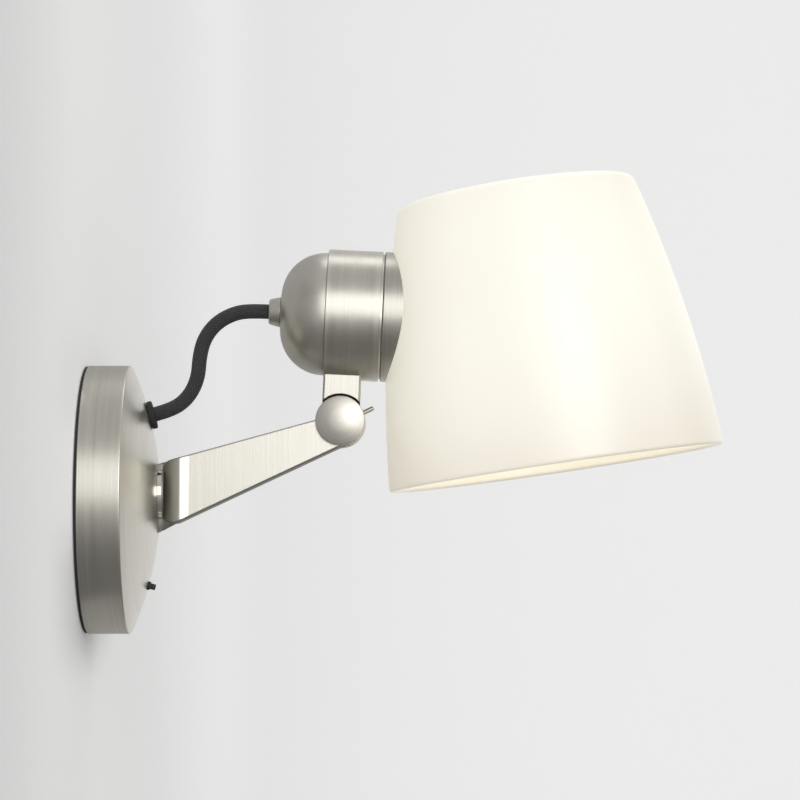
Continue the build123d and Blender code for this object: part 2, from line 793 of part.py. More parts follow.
neck.part.label = "neck"

with BuildPart() as neck_screws:
    with BuildSketch(neck_screw_face):
        with Locations(*neck_screw_spots):
            Circle(neck_screw_radius)
    extrude(amount=-neck_screw_length)
    with BuildSketch(neck_screw_face):
        with Locations(*neck_screw_spots):
            Circle(neck_screw_head_radius)
    extrude(amount=neck_screw_head_height)
    with BuildSketch(neck_screw_face.offset(neck_screw_head_height)):
        with Locations(*neck_screw_spots):
            RegularPolygon(neck_screw_radius, 6)
    extrude(amount=-neck_screw_head_height / 2, mode=Mode.SUBTRACT)
neck_screws.part.label = "neck_screws"

# Housing: a tube with a front web that carries the lampholder, and a groove before the shade seat
web_back = seat_start - housing_web
with BuildPart() as housing:
    with BuildSketch(holder_side):
        with BuildLine():
            Polyline(
                (housing_back, housing_bore),
                (housing_back, housing_radius),
                (housing_front, housing_radius),
                (housing_front, housing_radius - groove_depth),
                (seat_start, housing_radius - groove_depth),
                (seat_start, holder_radius + hole_gap),
                (web_back, holder_radius + hole_gap),
                (web_back, housing_bore),
                close=True,
            )
        make_face()
    revolve(axis=holder_axis)
    rim_circles = housing.edges().filter_by(GeomType.CIRCLE).group_by(SortBy.RADIUS)[-1]
    chamfer(rim_circles, length=edge_round)
    with BuildSketch(neck_screw_face):
        with Locations(*neck_screw_spots):
            Circle(neck_screw_radius + hole_gap)
    extrude(amount=-housing_wall - neck_screw_head_radius, mode=Mode.SUBTRACT)
    with BuildSketch(neck_screw_face):
        with Locations(*neck_screw_spots):
            Circle(neck_screw_head_radius + hole_gap)
    extrude(amount=neck_screw_head_radius, mode=Mode.SUBTRACT)
housing.part.label = "housing"

# Rear cap: a knuckle arc and a crown arc, tangent to each other, with a spigot in the housing
cap_tangent = atan2(cap_knuckle_r, cap_knuckle_u - cap_crown_u)
cap_bend = (cap_tangent + pi / 2) / 2
cap_seam = housing_back - running_gap
cap_spigot_radius = housing_bore - running_gap


def cap_knuckle_point(angle, inset=0.0):
    """Point on the rear cap's knuckle arc, for the face moved in by inset."""
    reach = cap_knuckle - inset
    return (cap_knuckle_u + reach * cos(angle), cap_knuckle_r + reach * sin(angle))


def cap_crown_point(radius, inset=0.0):
    """Point on the rear cap's crown arc at a distance from the axis."""
    return (cap_crown_u - sqrt((cap_crown - inset) ** 2 - radius**2), radius)


cap_hole_radius = collar_stem_radius + running_gap
cap_crown_middle = (cap_hole_radius + cap_knuckle_point(cap_tangent, cap_wall)[1]) / 2
with BuildPart() as rear_cap:
    with BuildSketch(holder_side):
        with BuildLine():
            Polyline(
                (cap_knuckle_u, cap_radius - cap_wall),
                (cap_seam, cap_spigot_radius - cap_wall),
                (housing_back + cap_spigot_length, cap_spigot_radius - cap_wall),
                (housing_back + cap_spigot_length, cap_spigot_radius),
                (cap_seam, cap_spigot_radius),
                (cap_seam, cap_radius),
                (cap_knuckle_u, cap_radius),
            )
            ThreePointArc(
                (cap_knuckle_u, cap_radius),
                cap_knuckle_point(cap_bend),
                cap_knuckle_point(cap_tangent),
            )
            ThreePointArc(
                cap_knuckle_point(cap_tangent),
                cap_crown_point(cap_crown_middle),
                cap_crown_point(cap_hole_radius),
            )
            Line(cap_crown_point(cap_hole_radius), cap_crown_point(cap_hole_radius, cap_wall))
            ThreePointArc(
                cap_crown_point(cap_hole_radius, cap_wall),
                cap_crown_point(cap_crown_middle, cap_wall),
                cap_knuckle_point(cap_tangent, cap_wall),
            )
            ThreePointArc(
                cap_knuckle_point(cap_tangent, cap_wall),
                cap_knuckle_point(cap_bend, cap_wall),
                (cap_knuckle_u, cap_radius - cap_wall),
            )
        make_face()
    revolve(axis=holder_axis)
rear_cap.part.label = "rear_cap"

# Cord collar: a cone outside the rear cap, with a stem through it and a nut inside
with BuildPart() as cord_collar:
    with BuildSketch(holder_side):
        with BuildLine():
            Polyline(
                (collar_tip, cord_radius + running_gap),
                (collar_tip, collar_tip_radius),
                (collar_foot, collar_foot_radius),
                (collar_foot, collar_stem_radius),
                (collar_foot + collar_stem_length, collar_stem_radius),
                (collar_foot + collar_stem_length, cord_radius + running_gap),
                close=True,
            )
        make_face()
    revolve(axis=holder_axis)
    cone_circles = cord_collar.edges().filter_by(GeomType.CIRCLE).sort_by(SortBy.RADIUS)
    fillet(cone_circles[-2:], radius=edge_round)
cord_collar.part.label = "cord_collar"

collar_nut_seat = cap_crown_point(collar_nut_radius, cap_wall)[0] + running_gap
with BuildPart() as collar_nut:
    with BuildSketch(holder_section(collar_nut_seat)):
        RegularPolygon(collar_nut_radius, 6)
        Circle(collar_stem_radius + running_gap, mode=Mode.SUBTRACT)
    extrude(amount=collar_nut_thickness)
collar_nut.part.label = "collar_nut"

# Shade: opal glass, open below, with a flat top and a hole in its side for the lampholder
with BuildPart() as shade:
    with BuildSketch(shade_side) as shade_half:
        with BuildLine():
            Polyline(
                (0, shade_height - shade_wall),
                (0, shade_height),
                (shade_radius(shade_height), shade_height),
            )
            ThreePointArc(
                (shade_radius(shade_height), shade_height),
                (shade_radius(shade_height / 2), shade_height / 2),
                (shade_radius(0), 0),
            )
            Line((shade_radius(0), 0), (shade_radius(0, shade_wall), 0))
            ThreePointArc(
                (shade_radius(0, shade_wall), 0),
                (shade_radius(shade_height / 2, shade_wall), shade_height / 2),
                (shade_radius(shade_height - shade_wall, shade_wall), shade_height - shade_wall),
            )
            Line(
                (shade_radius(shade_height - shade_wall, shade_wall), shade_height - shade_wall),
                (0, shade_height - shade_wall),
            )
        make_face()
        fillet(shade_half.vertices().group_by(Axis.Y)[0], radius=shade_lip_round)
        fillet(shade_half.vertices().group_by(Axis.Y)[-1].sort_by(Axis.X)[-1], radius=shade_shoulder)
        fillet(
            shade_half.vertices().sort_by_distance(
                (shade_radius(shade_height - shade_wall, shade_wall), shade_height - shade_wall)
            )[0],
            radius=shade_shoulder - shade_wall,
        )
    revolve(axis=shade_axis)
    with BuildSketch(holder_section(0)):
        Circle(holder_radius + free_gap)
    extrude(amount=shade_rim_radius, mode=Mode.SUBTRACT)
shade.part.label = "shade"

# The shade's outside and inside as plain solids, to cut its seat and its washer to the glass
with BuildPart() as shade_outside:
    with BuildSketch(shade_side):
        with BuildLine():
            Polyline(
                (shade_radius(0, -seat_gap), 0),
                (0, 0),
                (0, shade_height),
                (shade_radius(shade_height, -seat_gap), shade_height),
            )
            ThreePointArc(
                (shade_radius(shade_height, -seat_gap), shade_height),
                (shade_radius(shade_height / 2, -seat_gap), shade_height / 2),
                (shade_radius(0, -seat_gap), 0),
            )
        make_face()
    revolve(axis=shade_axis)

glass_inset = shade_wall + seat_gap
with BuildPart() as shade_inside:
    with BuildSketch(shade_side):
        with BuildLine():
            Polyline(
                (shade_radius(0, glass_inset), 0),
                (0, 0),
                (0, shade_height),
                (shade_radius(shade_height, glass_inset), shade_height),
            )
            ThreePointArc(
                (shade_radius(shade_height, glass_inset), shade_height),
                (shade_radius(shade_height / 2, glass_inset), shade_height / 2),
                (shade_radius(0, glass_inset), 0),
            )
        make_face()
    revolve(axis=shade_axis)

# Shade seat: a ring on the housing's front, cut to the glass
seat_foot = seat_start + running_gap
with BuildPart() as shade_seat:
    with BuildSketch(holder_section(seat_foot)):
        Circle(housing_radius)
        Circle(holder_radius + hole_gap, mode=Mode.SUBTRACT)
    extrude(amount=washer_front - seat_foot)
    with BuildSketch(holder_section(seat_foot + seat_back)):
        Circle(housing_radius - seat_wall)
    extrude(amount=washer_front - seat_foot, mode=Mode.SUBTRACT)
    add(shade_outside.part, mode=Mode.SUBTRACT)
    seat_circles = shade_seat.edges().filter_by(GeomType.CIRCLE).group_by(SortBy.RADIUS)[-1]
    chamfer(seat_circles, length=edge_round)
shade_seat.part.label = "shade_seat"

# Shade washer inside the glass, and the ring that screws onto the lampholder and clamps it
with BuildPart() as shade_washer:
    with BuildSketch(holder_section(seat_foot)):
        Circle(washer_radius)
        Circle(holder_radius + hole_gap, mode=Mode.SUBTRACT)
    extrude(amount=washer_front - seat_foot)
    add(shade_inside.part, mode=Mode.INTERSECT)
shade_washer.part.label = "shade_washer"

with BuildPart() as clamp_ring:
    with BuildSketch(holder_section(washer_front + running_gap)):
        Circle(washer_radius)
        Circle(holder_radius + running_gap, mode=Mode.SUBTRACT)
        with PolarLocations(washer_radius, clamp_notch_count):
            Circle(clamp_notch_radius, mode=Mode.SUBTRACT)
    extrude(amount=clamp_thickness)
clamp_ring.part.label = "clamp_ring"

# Lampholder with its screw shell and centre contact
shell_bore = bulb_cap_radius + running_gap
shell_radius = shell_bore + shell_wall
holder_bore_radius = shell_radius + running_gap
flange_front = web_back - running_gap
with BuildPart() as lampholder:
    with BuildSketch(holder_section(holder_back)):
        Circle(holder_radius)
    extrude(amount=holder_front - holder_back)
    with BuildSketch(holder_section(flange_front)):
        Circle(holder_flange_radius)
    extrude(amount=-holder_flange_thickness)
    with BuildSketch(holder_section(holder_front)):
        Circle(holder_bore_radius)
    extrude(amount=holder_bore_floor - holder_front, mode=Mode.SUBTRACT)
    with BuildSketch(holder_section(holder_back)):
        Circle(holder_back_radius)
    extrude(amount=holder_back_depth, mode=Mode.SUBTRACT)
lampholder.part.label = "lampholder"

shell_foot = holder_bore_floor + running_gap
with BuildPart() as screw_shell:
    with BuildSketch(holder_section(shell_foot)):
        Circle(shell_radius)
        Circle(shell_bore, mode=Mode.SUBTRACT)
    extrude(amount=shell_length)
screw_shell.part.label = "screw_shell"

with BuildPart() as centre_contact:
    with BuildSketch(holder_section(shell_foot)):
        Circle(contact_radius)
    extrude(amount=contact_thickness)
centre_contact.part.label = "centre_contact"

# Bulb: a screw cap with a contact tip, and a globe whose neck runs tangent into it
bulb_start = shell_foot + contact_thickness + running_gap
bulb_cap_start = bulb_start + bulb_tip_length
bulb_cap_end = bulb_cap_start + bulb_cap_length
bulb_centre = bulb_start + bulb_length - bulb_globe_radius
neck_run = bulb_centre - bulb_cap_end
neck_slope = asin(bulb_globe_radius / hypot(neck_run, bulb_neck_radius)) - atan2(bulb_neck_radius, neck_run)
with BuildPart() as bulb_cap:
    with BuildSketch(holder_section(bulb_start)):
        Circle(bulb_tip_radius)
    extrude(amount=bulb_tip_length)
    with BuildSketch(holder_section(bulb_cap_start)):
        Circle(bulb_cap_radius)
    extrude(amount=bulb_cap_length)
bulb_cap.part.label = "bulb_cap"

inner_globe = bulb_globe_radius - bulb_wall
bulb_foot = bulb_cap_end + running_gap
globe_outer = (bulb_centre - bulb_globe_radius * sin(neck_slope), bulb_globe_radius * cos(neck_slope))
globe_inner = (bulb_centre - inner_globe * sin(neck_slope), inner_globe * cos(neck_slope))
with BuildPart() as bulb_glass:
    with BuildSketch(holder_side):
        with BuildLine():
            Polyline(
                globe_inner,
                (bulb_foot, bulb_neck_radius - bulb_wall / cos(neck_slope)),
                (bulb_foot, bulb_neck_radius),
                globe_outer,
            )
            ThreePointArc(globe_outer, (bulb_centre, bulb_globe_radius), (bulb_centre + bulb_globe_radius, 0))
            Line((bulb_centre + bulb_globe_radius, 0), (bulb_centre + inner_globe, 0))
            ThreePointArc((bulb_centre + inner_globe, 0), (bulb_centre, inner_globe), globe_inner)
        make_face()
    revolve(axis=holder_axis)
bulb_glass.part.label = "bulb_glass"

os.makedirs("parts", exist_ok=True)
for piece in (
    wall_gasket,
    wall_plate,
    wall_cup,
    cup_screws,
    terminal_block,
    terminal_screws,
    earth_tag,
    earth_screw,
    cord_grommet,
    cord,
    cup_cord_tail,
    head_cord_tail,
    switch_collar,
    switch_body,
    switch_button,
    arm,
    arm_disc,
    arm_washer,
    arm_bolt,
    pivot_bolt,
    pivot_cap,
    friction_washers,
    spring_washer,
    clamp_knob,
    lever_pin,
    neck,
    neck_screws,
    housing,
    rear_cap,
    cord_collar,
    collar_nut,
    shade,
    shade_seat,
    shade_washer,
    clamp_ring,
    lampholder,
    screw_shell,
    centre_contact,
    bulb_cap,
    bulb_glass,
):
    export_step(piece.part, f"parts/{piece.part.label}.step")
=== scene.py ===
"""Adjustable wall lamp: satin metal, a fabric cord and a lit opal glass shade on the CAD frame.

Metres, in the frame's own axes: +X out of the wall, +Z up, the wall at X = 0.
"""

import json
from math import asin, atan2, cos, hypot, pi, radians, sin, sqrt

import bmesh
import bpy
from bmesh.types import BMEdge, BMFace, BMVert
from bpy.props import FloatProperty, FloatVectorProperty, PointerProperty
from bpy.types import Operator, Panel, PropertyGroup
from mathutils import Matrix, Vector


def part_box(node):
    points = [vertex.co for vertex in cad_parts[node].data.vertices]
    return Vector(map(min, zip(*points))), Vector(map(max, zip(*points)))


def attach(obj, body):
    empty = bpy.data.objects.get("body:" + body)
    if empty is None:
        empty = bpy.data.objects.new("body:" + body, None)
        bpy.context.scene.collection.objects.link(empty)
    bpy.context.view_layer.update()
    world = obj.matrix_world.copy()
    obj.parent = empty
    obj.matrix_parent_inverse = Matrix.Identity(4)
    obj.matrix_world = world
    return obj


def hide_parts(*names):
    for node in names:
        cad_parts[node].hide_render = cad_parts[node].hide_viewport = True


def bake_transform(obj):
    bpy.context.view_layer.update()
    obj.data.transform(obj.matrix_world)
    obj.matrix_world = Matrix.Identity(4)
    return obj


bl_info = {
    "name": "Adjustable Wall Lamp",
    "version": (1, 0, 0),
    "blender": (4, 5, 0),
    "location": "3D View > Sidebar > Wall Lamp",
    "description": "Dresses an adjustable wall lamp in satin metal, opal glass and fabric cord",
    "category": "Add Mesh",
}

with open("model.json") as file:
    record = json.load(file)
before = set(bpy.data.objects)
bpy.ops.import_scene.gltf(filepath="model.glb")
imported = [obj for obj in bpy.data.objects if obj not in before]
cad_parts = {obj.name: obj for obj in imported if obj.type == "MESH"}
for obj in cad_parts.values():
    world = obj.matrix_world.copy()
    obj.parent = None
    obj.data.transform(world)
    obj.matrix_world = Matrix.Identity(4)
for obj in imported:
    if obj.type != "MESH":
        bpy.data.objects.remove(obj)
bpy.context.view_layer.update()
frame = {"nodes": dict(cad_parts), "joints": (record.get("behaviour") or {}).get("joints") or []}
NODES = frame["nodes"]
PIVOT = Vector(next(joint["pos_m"] for joint in frame["joints"] if joint["name"] == "head_tilt"))
CUP_LOW, CUP_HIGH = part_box("wall_cup")

# The cord's route, from the grommet's face to the collar's face
CORD_ROUTE = (
    (0.02508, 0, 0.03188),
    (0.03233, 0, 0.03379),
    (0.0381, 0, 0.0387),
    (0.0413, 0, 0.0457),
    (0.0418, 0, 0.0536),
    (0.0436, 0, 0.0606),
    (0.0484, 0, 0.0666),
    (0.0554, 0, 0.07015),
    (0.0618, 0, 0.07073),
    (0.06778, 0, 0.07046),
)
CORD_RADIUS = 0.00275

# Finishes with a fine grain: colour, its share in the grain, grain scale, roughness, bump, metallic
GRAINED = {
    "black_rubber": ("rubber", 0.7, 3000.0, (0.55, 0.7), 0.25, 0.0),
    "black_plastic": ("plastic", 0.7, 2600.0, (0.32, 0.42), 0.15, 0.0),
    "porcelain": ("porcelain", 0.93, 1400.0, (0.2, 0.28), 0.05, 0.0),
    "zinc_plate": ("zinc", 0.82, 1800.0, (0.3, 0.42), 0.08, 1.0),
    # Painted shade: the neck's tongue is made black to show the shade in the gap round the pivot
    # cap
    "blackened": ("plastic", 0.6, 1800.0, (0.5, 0.62), 0.1, 0.3),
    "bead_blasted": ("metal", 0.93, 2600.0, (0.34, 0.41), 0.06, 1.0),
    "plain_brass": ("brass", 0.8, 1600.0, (0.28, 0.4), 0.08, 1.0),
}

# Painted shade and highlight: shares of the metal's tone; then a roughness and a share of roughness
PAINTED_SHADE_TONE, PAINTED_HIGHLIGHT_TONE = 0.5, 1.2
DULL_ROUGHNESS, POLISHED_SHARE = 0.65, 0.45


def length(name, description, default):
    """A size of the lamp, in metres."""
    return FloatProperty(
        name=name, description=description, default=default, unit="LENGTH", precision=5
    )


def angle(name, description, default):
    """An angle of the lamp, given in degrees."""
    return FloatProperty(
        name=name, description=description, default=radians(default), subtype="ANGLE"
    )


def colour(name, description, default):
    """A colour of the lamp, in linear light."""
    return FloatVectorProperty(
        name=name, description=description, default=default, subtype="COLOR", size=3, min=0, max=1
    )


class WallSideSizes(PropertyGroup):
    """Sizes of the wall cup and what sits on it."""

    cup_radius: length("Cup Radius", "Outer radius of the wall cup", CUP_HIGH.z)
    cup_back: length("Cup Back", "Distance of the cup's back edge from the wall", CUP_LOW.x)
    rim_depth: length("Rim Depth", "Depth of the cup's straight rim", 0.0156)
    dome_height: length("Dome Height", "Rise of the domed front", 0.0106)
    cup_wall: length("Cup Wall", "Thickness of the cup", 0.0015)
    rim_edge: length("Rim Edge", "Rounding of the cup's edges", 0.0004)
    grommet_place: length("Grommet Place", "Height of the cord grommet on the dome", 0.03135)
    switch_place: length("Switch Place", "Height of the push switch on the dome", -0.032)


class HeadSizes(PropertyGroup):
    """Sizes of the tilting head."""

    droop: angle("Droop", "How far the head's nose points down at rest", 2.6)
    axis_height: length("Axis Height", "Height of the housing's axis above the pivot", 0.0401)
    housing_radius: length("Housing Radius", "Outer radius of the lampholder housing", 0.0244)
    housing_back: length("Housing Back", "Back end of the housing, along its axis", -0.007)
    housing_front: length("Housing Front", "Front end of the housing, at the groove", 0.0132)
    neck_width: length("Neck Width", "Width of the neck along the head", 0.014)
    neck_depth: length("Neck Depth", "Depth of the neck across the lamp", 0.016)
    pivot_cap_radius: length("Pivot Cap Radius", "Radius of the domed cap on the pivot", 0.0092)


class ShadeSizes(PropertyGroup):
    """Sizes of the glass shade and the bulb."""

    rim_radius: length("Rim Radius", "Outer radius of the shade at its open rim", 0.063)
    height: length("Height", "Height of the shade", 0.1048)
    curve_radius: length("Curve Radius", "Radius of the shade's side curve", 0.5)
    rim_draft: angle("Rim Draft", "Slope of the side at the rim", 3.9)
    glass: length("Glass", "Thickness of the glass", 0.003)
    cant: angle("Cant", "Turn of the shade against the head", 10.9)
    bulb_radius: length("Bulb Radius", "Radius of the bulb's globe", 0.0225)


class LampColours(PropertyGroup):
    """Colours of the lamp and its stage."""

    metal: colour("Metal", "Satin nickel between its lines", (0.66, 0.64, 0.575))
    metal_line: colour("Metal Line", "Satin nickel in its lines", (0.56, 0.54, 0.485))
    zinc: colour("Zinc", "Plated inner steel", (0.58, 0.59, 0.60))
    brass: colour("Brass", "Contacts and clamp screws", (0.72, 0.55, 0.25))
    cord: colour("Cord", "Fabric of the cord", (0.024, 0.023, 0.024))
    # Painted highlight: the raised strands of the weave are given this lighter colour
    cord_highlight: colour("Cord Light", "Raised strands of the cord", (0.062, 0.060, 0.062))
    rubber: colour("Rubber", "Gasket and grommet", (0.032, 0.032, 0.032))
    plastic: colour("Plastic", "Switch and collar", (0.018, 0.018, 0.018))
    porcelain: colour("Porcelain", "Lampholder and clamp ring", (0.80, 0.78, 0.73))
    glass: colour("Glass", "Opal glass", (0.86, 0.83, 0.765))
    glow: colour("Glow", "Light in the glass near the bulb", (1.0, 0.985, 0.83))
    glow_far: colour("Glow Far", "Light in the glass far from the bulb", (0.56, 0.45, 0.32))
    wall: colour("Wall", "Painted wall and backdrop", (0.80, 0.80, 0.80))


def sizes(context):
    """The lamp's four groups of settings."""
    scene = context.scene
    return scene.lamp_wall_side, scene.lamp_head, scene.lamp_shade, scene.lamp_colours


def head_place(head):
    """Place of the head's own axes at the pivot: X along the housing, Z up from the pivot."""
    return Matrix.Translation(PIVOT) @ Matrix.Rotation(head.droop, 4, "Y")


def housing_place(head):
    """Place of the housing's axis, level with the pivot along it."""
    return head_place(head) @ Matrix.Translation((0, 0, head.axis_height))


def dome_radius(wall_side):
    """Radius of the sphere that the cup's dome is part of."""
    return (wall_side.cup_radius**2 + wall_side.dome_height**2) / (2 * wall_side.dome_height)


def dome_apex(wall_side):
    """Distance of the dome's middle from the wall."""
    return wall_side.cup_back + wall_side.rim_depth + wall_side.dome_height


def dome_place(wall_side, height):
    """Place on the dome at a height, with X along the dome's normal."""
    sphere = dome_radius(wall_side)
    centre = Matrix.Translation((dome_apex(wall_side) - sphere, 0, 0))
    lean = Matrix.Rotation(-asin(height / sphere), 4, "Y")
    return centre @ lean @ Matrix.Translation((sphere, 0, 0))


def picked(items, kind):
    """The items of one kind, such as BMVert."""
    return [item for item in items if isinstance(item, kind)]


def drawn_on(bm, tip, place):
    """The new tip of a chain of edges that is drawn on to a place."""
    tip = bmesh.ops.extrude_vert_indiv(bm, verts=[tip])["verts"][0]
    tip.co = place
    return tip


def swung(bm, geom, centre, axis, turn, steps, merge=False):
    """The end of what geometry leaves as it swings round an axis."""
    made = bmesh.ops.spin(
        bm, geom=geom, cent=centre, axis=axis, dvec=(0, 0, 0), angle=turn, steps=steps,
        use_merge=merge, use_duplicate=False,
    )
    return made["geom_last"]


class Outline:
    """A chain of edges in the XZ plane, drawn by points and arcs, then spun or filled."""

    def __init__(self, x, z):
        self.bm = bmesh.new()
        self.tip = self.bm.verts.new((x, 0, z))
        self.start = self.tip

    def line(self, *points):
        """Straight runs through points."""
        for x, z in points:
            self.tip = drawn_on(self.bm, self.tip, (x, 0, z))
        return self

    def arc(self, x, z, turn, steps):
        """An arc round a centre; a positive turn goes from +X towards +Z."""
        self.tip = swung(self.bm, [self.tip], (x, 0, z), (0, -1, 0), turn, steps)[0]
        return self

    def close(self):
        """Joins the last point to the first."""
        self.bm.edges.new((self.tip, self.start))
        return self

    def turned(self, steps, axis=(1, 0, 0)):
        """The outline spun once round an axis through the origin."""
        bm = self.bm
        swung(bm, bm.verts[:] + bm.edges[:], (0, 0, 0), axis, 2 * pi, steps, merge=True)
        return closed(bm)

    def extruded(self, depth):
        """The outline filled and drawn out to half its depth on both sides."""
        bm = self.bm
        made = bmesh.ops.contextual_create(bm, geom=bm.edges[:])
        bmesh.ops.translate(bm, vec=(0, -depth / 2, 0), verts=bm.verts[:])
        drawn = bmesh.ops.extrude_face_region(bm, geom=made["faces"])
        bmesh.ops.translate(bm, vec=(0, depth, 0), verts=picked(drawn["geom"], BMVert))
        return closed(bm)


def closed(bm):
    """The mesh with its seams and poles merged, its slivers dissolved and its faces outwards."""
    bmesh.ops.remove_doubles(bm, verts=bm.verts[:], dist=1e-6)
    bmesh.ops.dissolve_degenerate(bm, edges=bm.edges[:], dist=1e-7)
    bmesh.ops.recalc_face_normals(bm, faces=bm.faces[:])
    return bm


def sharp_edges(bm, least=25):
    """Edges whose faces meet at more than an angle, in degrees."""
    return [
        edge for edge in bm.edges
        if len(edge.link_faces) == 2 and edge.calc_face_angle() > radians(least)
    ]


def softened(bm, width, segments, edges=None):
    """The mesh with its sharp edges, or chosen ones, rounded."""
    bmesh.ops.bevel(
        bm, geom=sharp_edges(bm) if edges is None else edges, offset=width, offset_type="OFFSET",
        segments=segments, profile=0.5, affect="EDGES", clamp_overlap=True, material=-1,
    )
    return bm


def linked(name, data):
    """A new object in the scene."""
    item = bpy.data.objects.new(name, data)
    bpy.context.scene.collection.objects.link(item)
    return item


def meshed(name, bm, material):
    """A new object of a mesh with one material."""
    mesh = bpy.data.meshes.new(name)
    bm.to_mesh(mesh)
    bm.free()
    mesh.materials.append(material)
    return linked(name, mesh)


def add_piece(name, bm, material, body, node, place=None):
    """Makes an object of a mesh in place, and has it stand for a CAD node on a body."""
    if place is not None:
        bmesh.ops.transform(bm, matrix=place, verts=bm.verts[:])
    for face in bm.faces:
        face.smooth = True
    for edge in sharp_edges(bm, least=40):
        edge.smooth = False
    piece = meshed(name, bm, material)
    piece.modifiers.new("even_faces", "WEIGHTED_NORMAL").keep_sharp = True
    if body:
        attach(piece, body)
    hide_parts(node)
    return piece


def dress(material, *nodes):
    """Gives carried-over CAD nodes a material."""
    for node in nodes:
        NODES[node].data.materials.clear()
        NODES[node].data.materials.append(material)


class Nodes:
    """A node tree that is filled from left to right."""

    def __init__(self, tree):
        self.tree = tree
        self.count = 0

    def add(self, kind, settings=None, **inputs):
        """A node with its settings, and its inputs set or linked by name."""
        node = self.tree.nodes.new(kind)
        node.location = (200 * self.count, 0)
        self.count += 1
        for key, value in (settings or {}).items():
            setattr(node, key, value)
        self.fill(node, **inputs)
        return node

    def fill(self, node, **inputs):
        """Sets or links a node's inputs by name."""
        for key, value in inputs.items():
            self.feed(node, key.replace("_", " "), value)

    def feed(self, node, key, value):
        """Sets or links one input by name or number."""
        if isinstance(value, bpy.types.NodeSocket):
            self.tree.links.new(value, node.inputs[key])
        else:
            node.inputs[key].default_value = value

    def math(self, operation, first, second=0.0, clamp=False):
        """A Math node's result."""
        node = self.add("ShaderNodeMath", {"operation": operation, "use_clamp": clamp})
        self.feed(node, 0, first)
        self.feed(node, 1, second)
        return node.outputs[0]

    def weighed(self, first, first_share, second, second_share, clamp=False):
        """Two values added by their shares."""
        first = self.math("MULTIPLY", first, first_share)
        second = self.math("MULTIPLY", second, second_share)
        return self.math("ADD", first, second, clamp)

    def noise(self, vector, scale, detail, roughness):
        """A Noise Texture's value."""
        node = self.add(
            "ShaderNodeTexNoise", Vector=vector, Scale=scale, Detail=detail, Roughness=roughness
        )
        return node.outputs["Fac"]

    def spread(self, value, low, high, to_low=0.0, to_high=1.0):
        """A value moved from one range to another, and held there."""
        node = self.add("ShaderNodeMapRange", {"interpolation_type": "SMOOTHSTEP"})
        for key, item in enumerate((value, low, high, to_low, to_high)):
            self.feed(node, key, item)
        return node.outputs[0]

    def blend(self, factor, first, second):
        """A colour between two colours."""
        node = self.add("ShaderNodeMix", {"data_type": "RGBA"})
        self.feed(node, 0, factor)
        for key, item in ((6, first), (7, second)):
            self.feed(node, key, item if isinstance(item, bpy.types.NodeSocket) else (*item, 1))
        return node.outputs[2]

    def bump(self, height, strength, distance):
        """A normal from a height."""
        node = self.add("ShaderNodeBump", Strength=strength, Distance=distance, Height=height)
        return node.outputs["Normal"]

    def split(self, vector):
        """A vector's X, Y and Z."""
        return self.add("ShaderNodeSeparateXYZ", Vector=vector).outputs

    def reach(self, vector):
        """A vector's length."""
        node = self.add("ShaderNodeVectorMath", {"operation": "LENGTH"}, Vector=vector)
        return node.outputs["Value"]

    def point(self):
        """Object coordinates, which are the frame's own."""
        return self.add("ShaderNodeTexCoord").outputs["Object"]

    def local(self, place):
        """Object coordinates in a piece's own axes."""
        node = self.add(
            "ShaderNodeMapping", {"vector_type": "TEXTURE"}, Vector=self.point(),
            Location=place.to_translation(), Rotation=place.to_euler(),
        )
        return node.outputs["Vector"]


def shared_group(name, inputs, fill):
    """A shader node group, built once, that turns a vector and some values into other values."""
    if name in bpy.data.node_groups:
        return bpy.data.node_groups[name]
    tree = bpy.data.node_groups.new(name, "ShaderNodeTree")
    tree.interface.new_socket("Vector", in_out="INPUT", socket_type="NodeSocketVector")
    for label, default in inputs.items():
        socket = tree.interface.new_socket(label, in_out="INPUT", socket_type="NodeSocketFloat")
        socket.default_value = default
    nodes = Nodes(tree)
    results = fill(nodes, nodes.add("NodeGroupInput").outputs)
    for label in results:
        tree.interface.new_socket(label, in_out="OUTPUT", socket_type="NodeSocketFloat")
    end = nodes.add("NodeGroupOutput")
    for label, value in results.items():
        nodes.feed(end, label, value)
    return tree


def brushed_lines():
    """Fine lines of a turned or brushed face, across local X and, if radial, the radius."""

    def fill(nodes, given):
        split = nodes.split(given["Vector"])
        squares = [nodes.math("POWER", split[axis], 2) for axis in "YZ"]
        radius = nodes.math("SQRT", nodes.math("ADD", *squares))
        across = nodes.math("ADD", split["X"], nodes.math("MULTIPLY", radius, given["Radial"]))
        fine = nodes.add(
            "ShaderNodeCombineXYZ",
            X=nodes.math("MULTIPLY", across, given["Lines"]),
            Y=nodes.math("MULTIPLY", split["Y"], given["Runs"]),
            Z=nodes.math("MULTIPLY", split["Z"], given["Runs"]),
        ).outputs[0]
        broad = nodes.add("ShaderNodeVectorMath", {"operation": "SCALE"}, Vector=fine, Scale=0.13)
        streak = nodes.noise(fine, scale=1.0, detail=4.0, roughness=0.7)
        band = nodes.noise(broad.outputs[0], scale=1.0, detail=2.0, roughness=0.5)
        return {
            "Tone": nodes.spread(nodes.weighed(streak, 0.65, band, 0.35), 0.30, 0.70),
            "Roughness": nodes.spread(
                band, 0.25, 0.75, given["Least Roughness"], given["Most Roughness"]
            ),
            "Height": streak,
        }

    inputs = {
        "Radial": 1.0, "Lines": 2600.0, "Runs": 14.0,
        "Least Roughness": 0.30, "Most Roughness": 0.38,
    }
    return shared_group("Brushed Lines", inputs, fill)


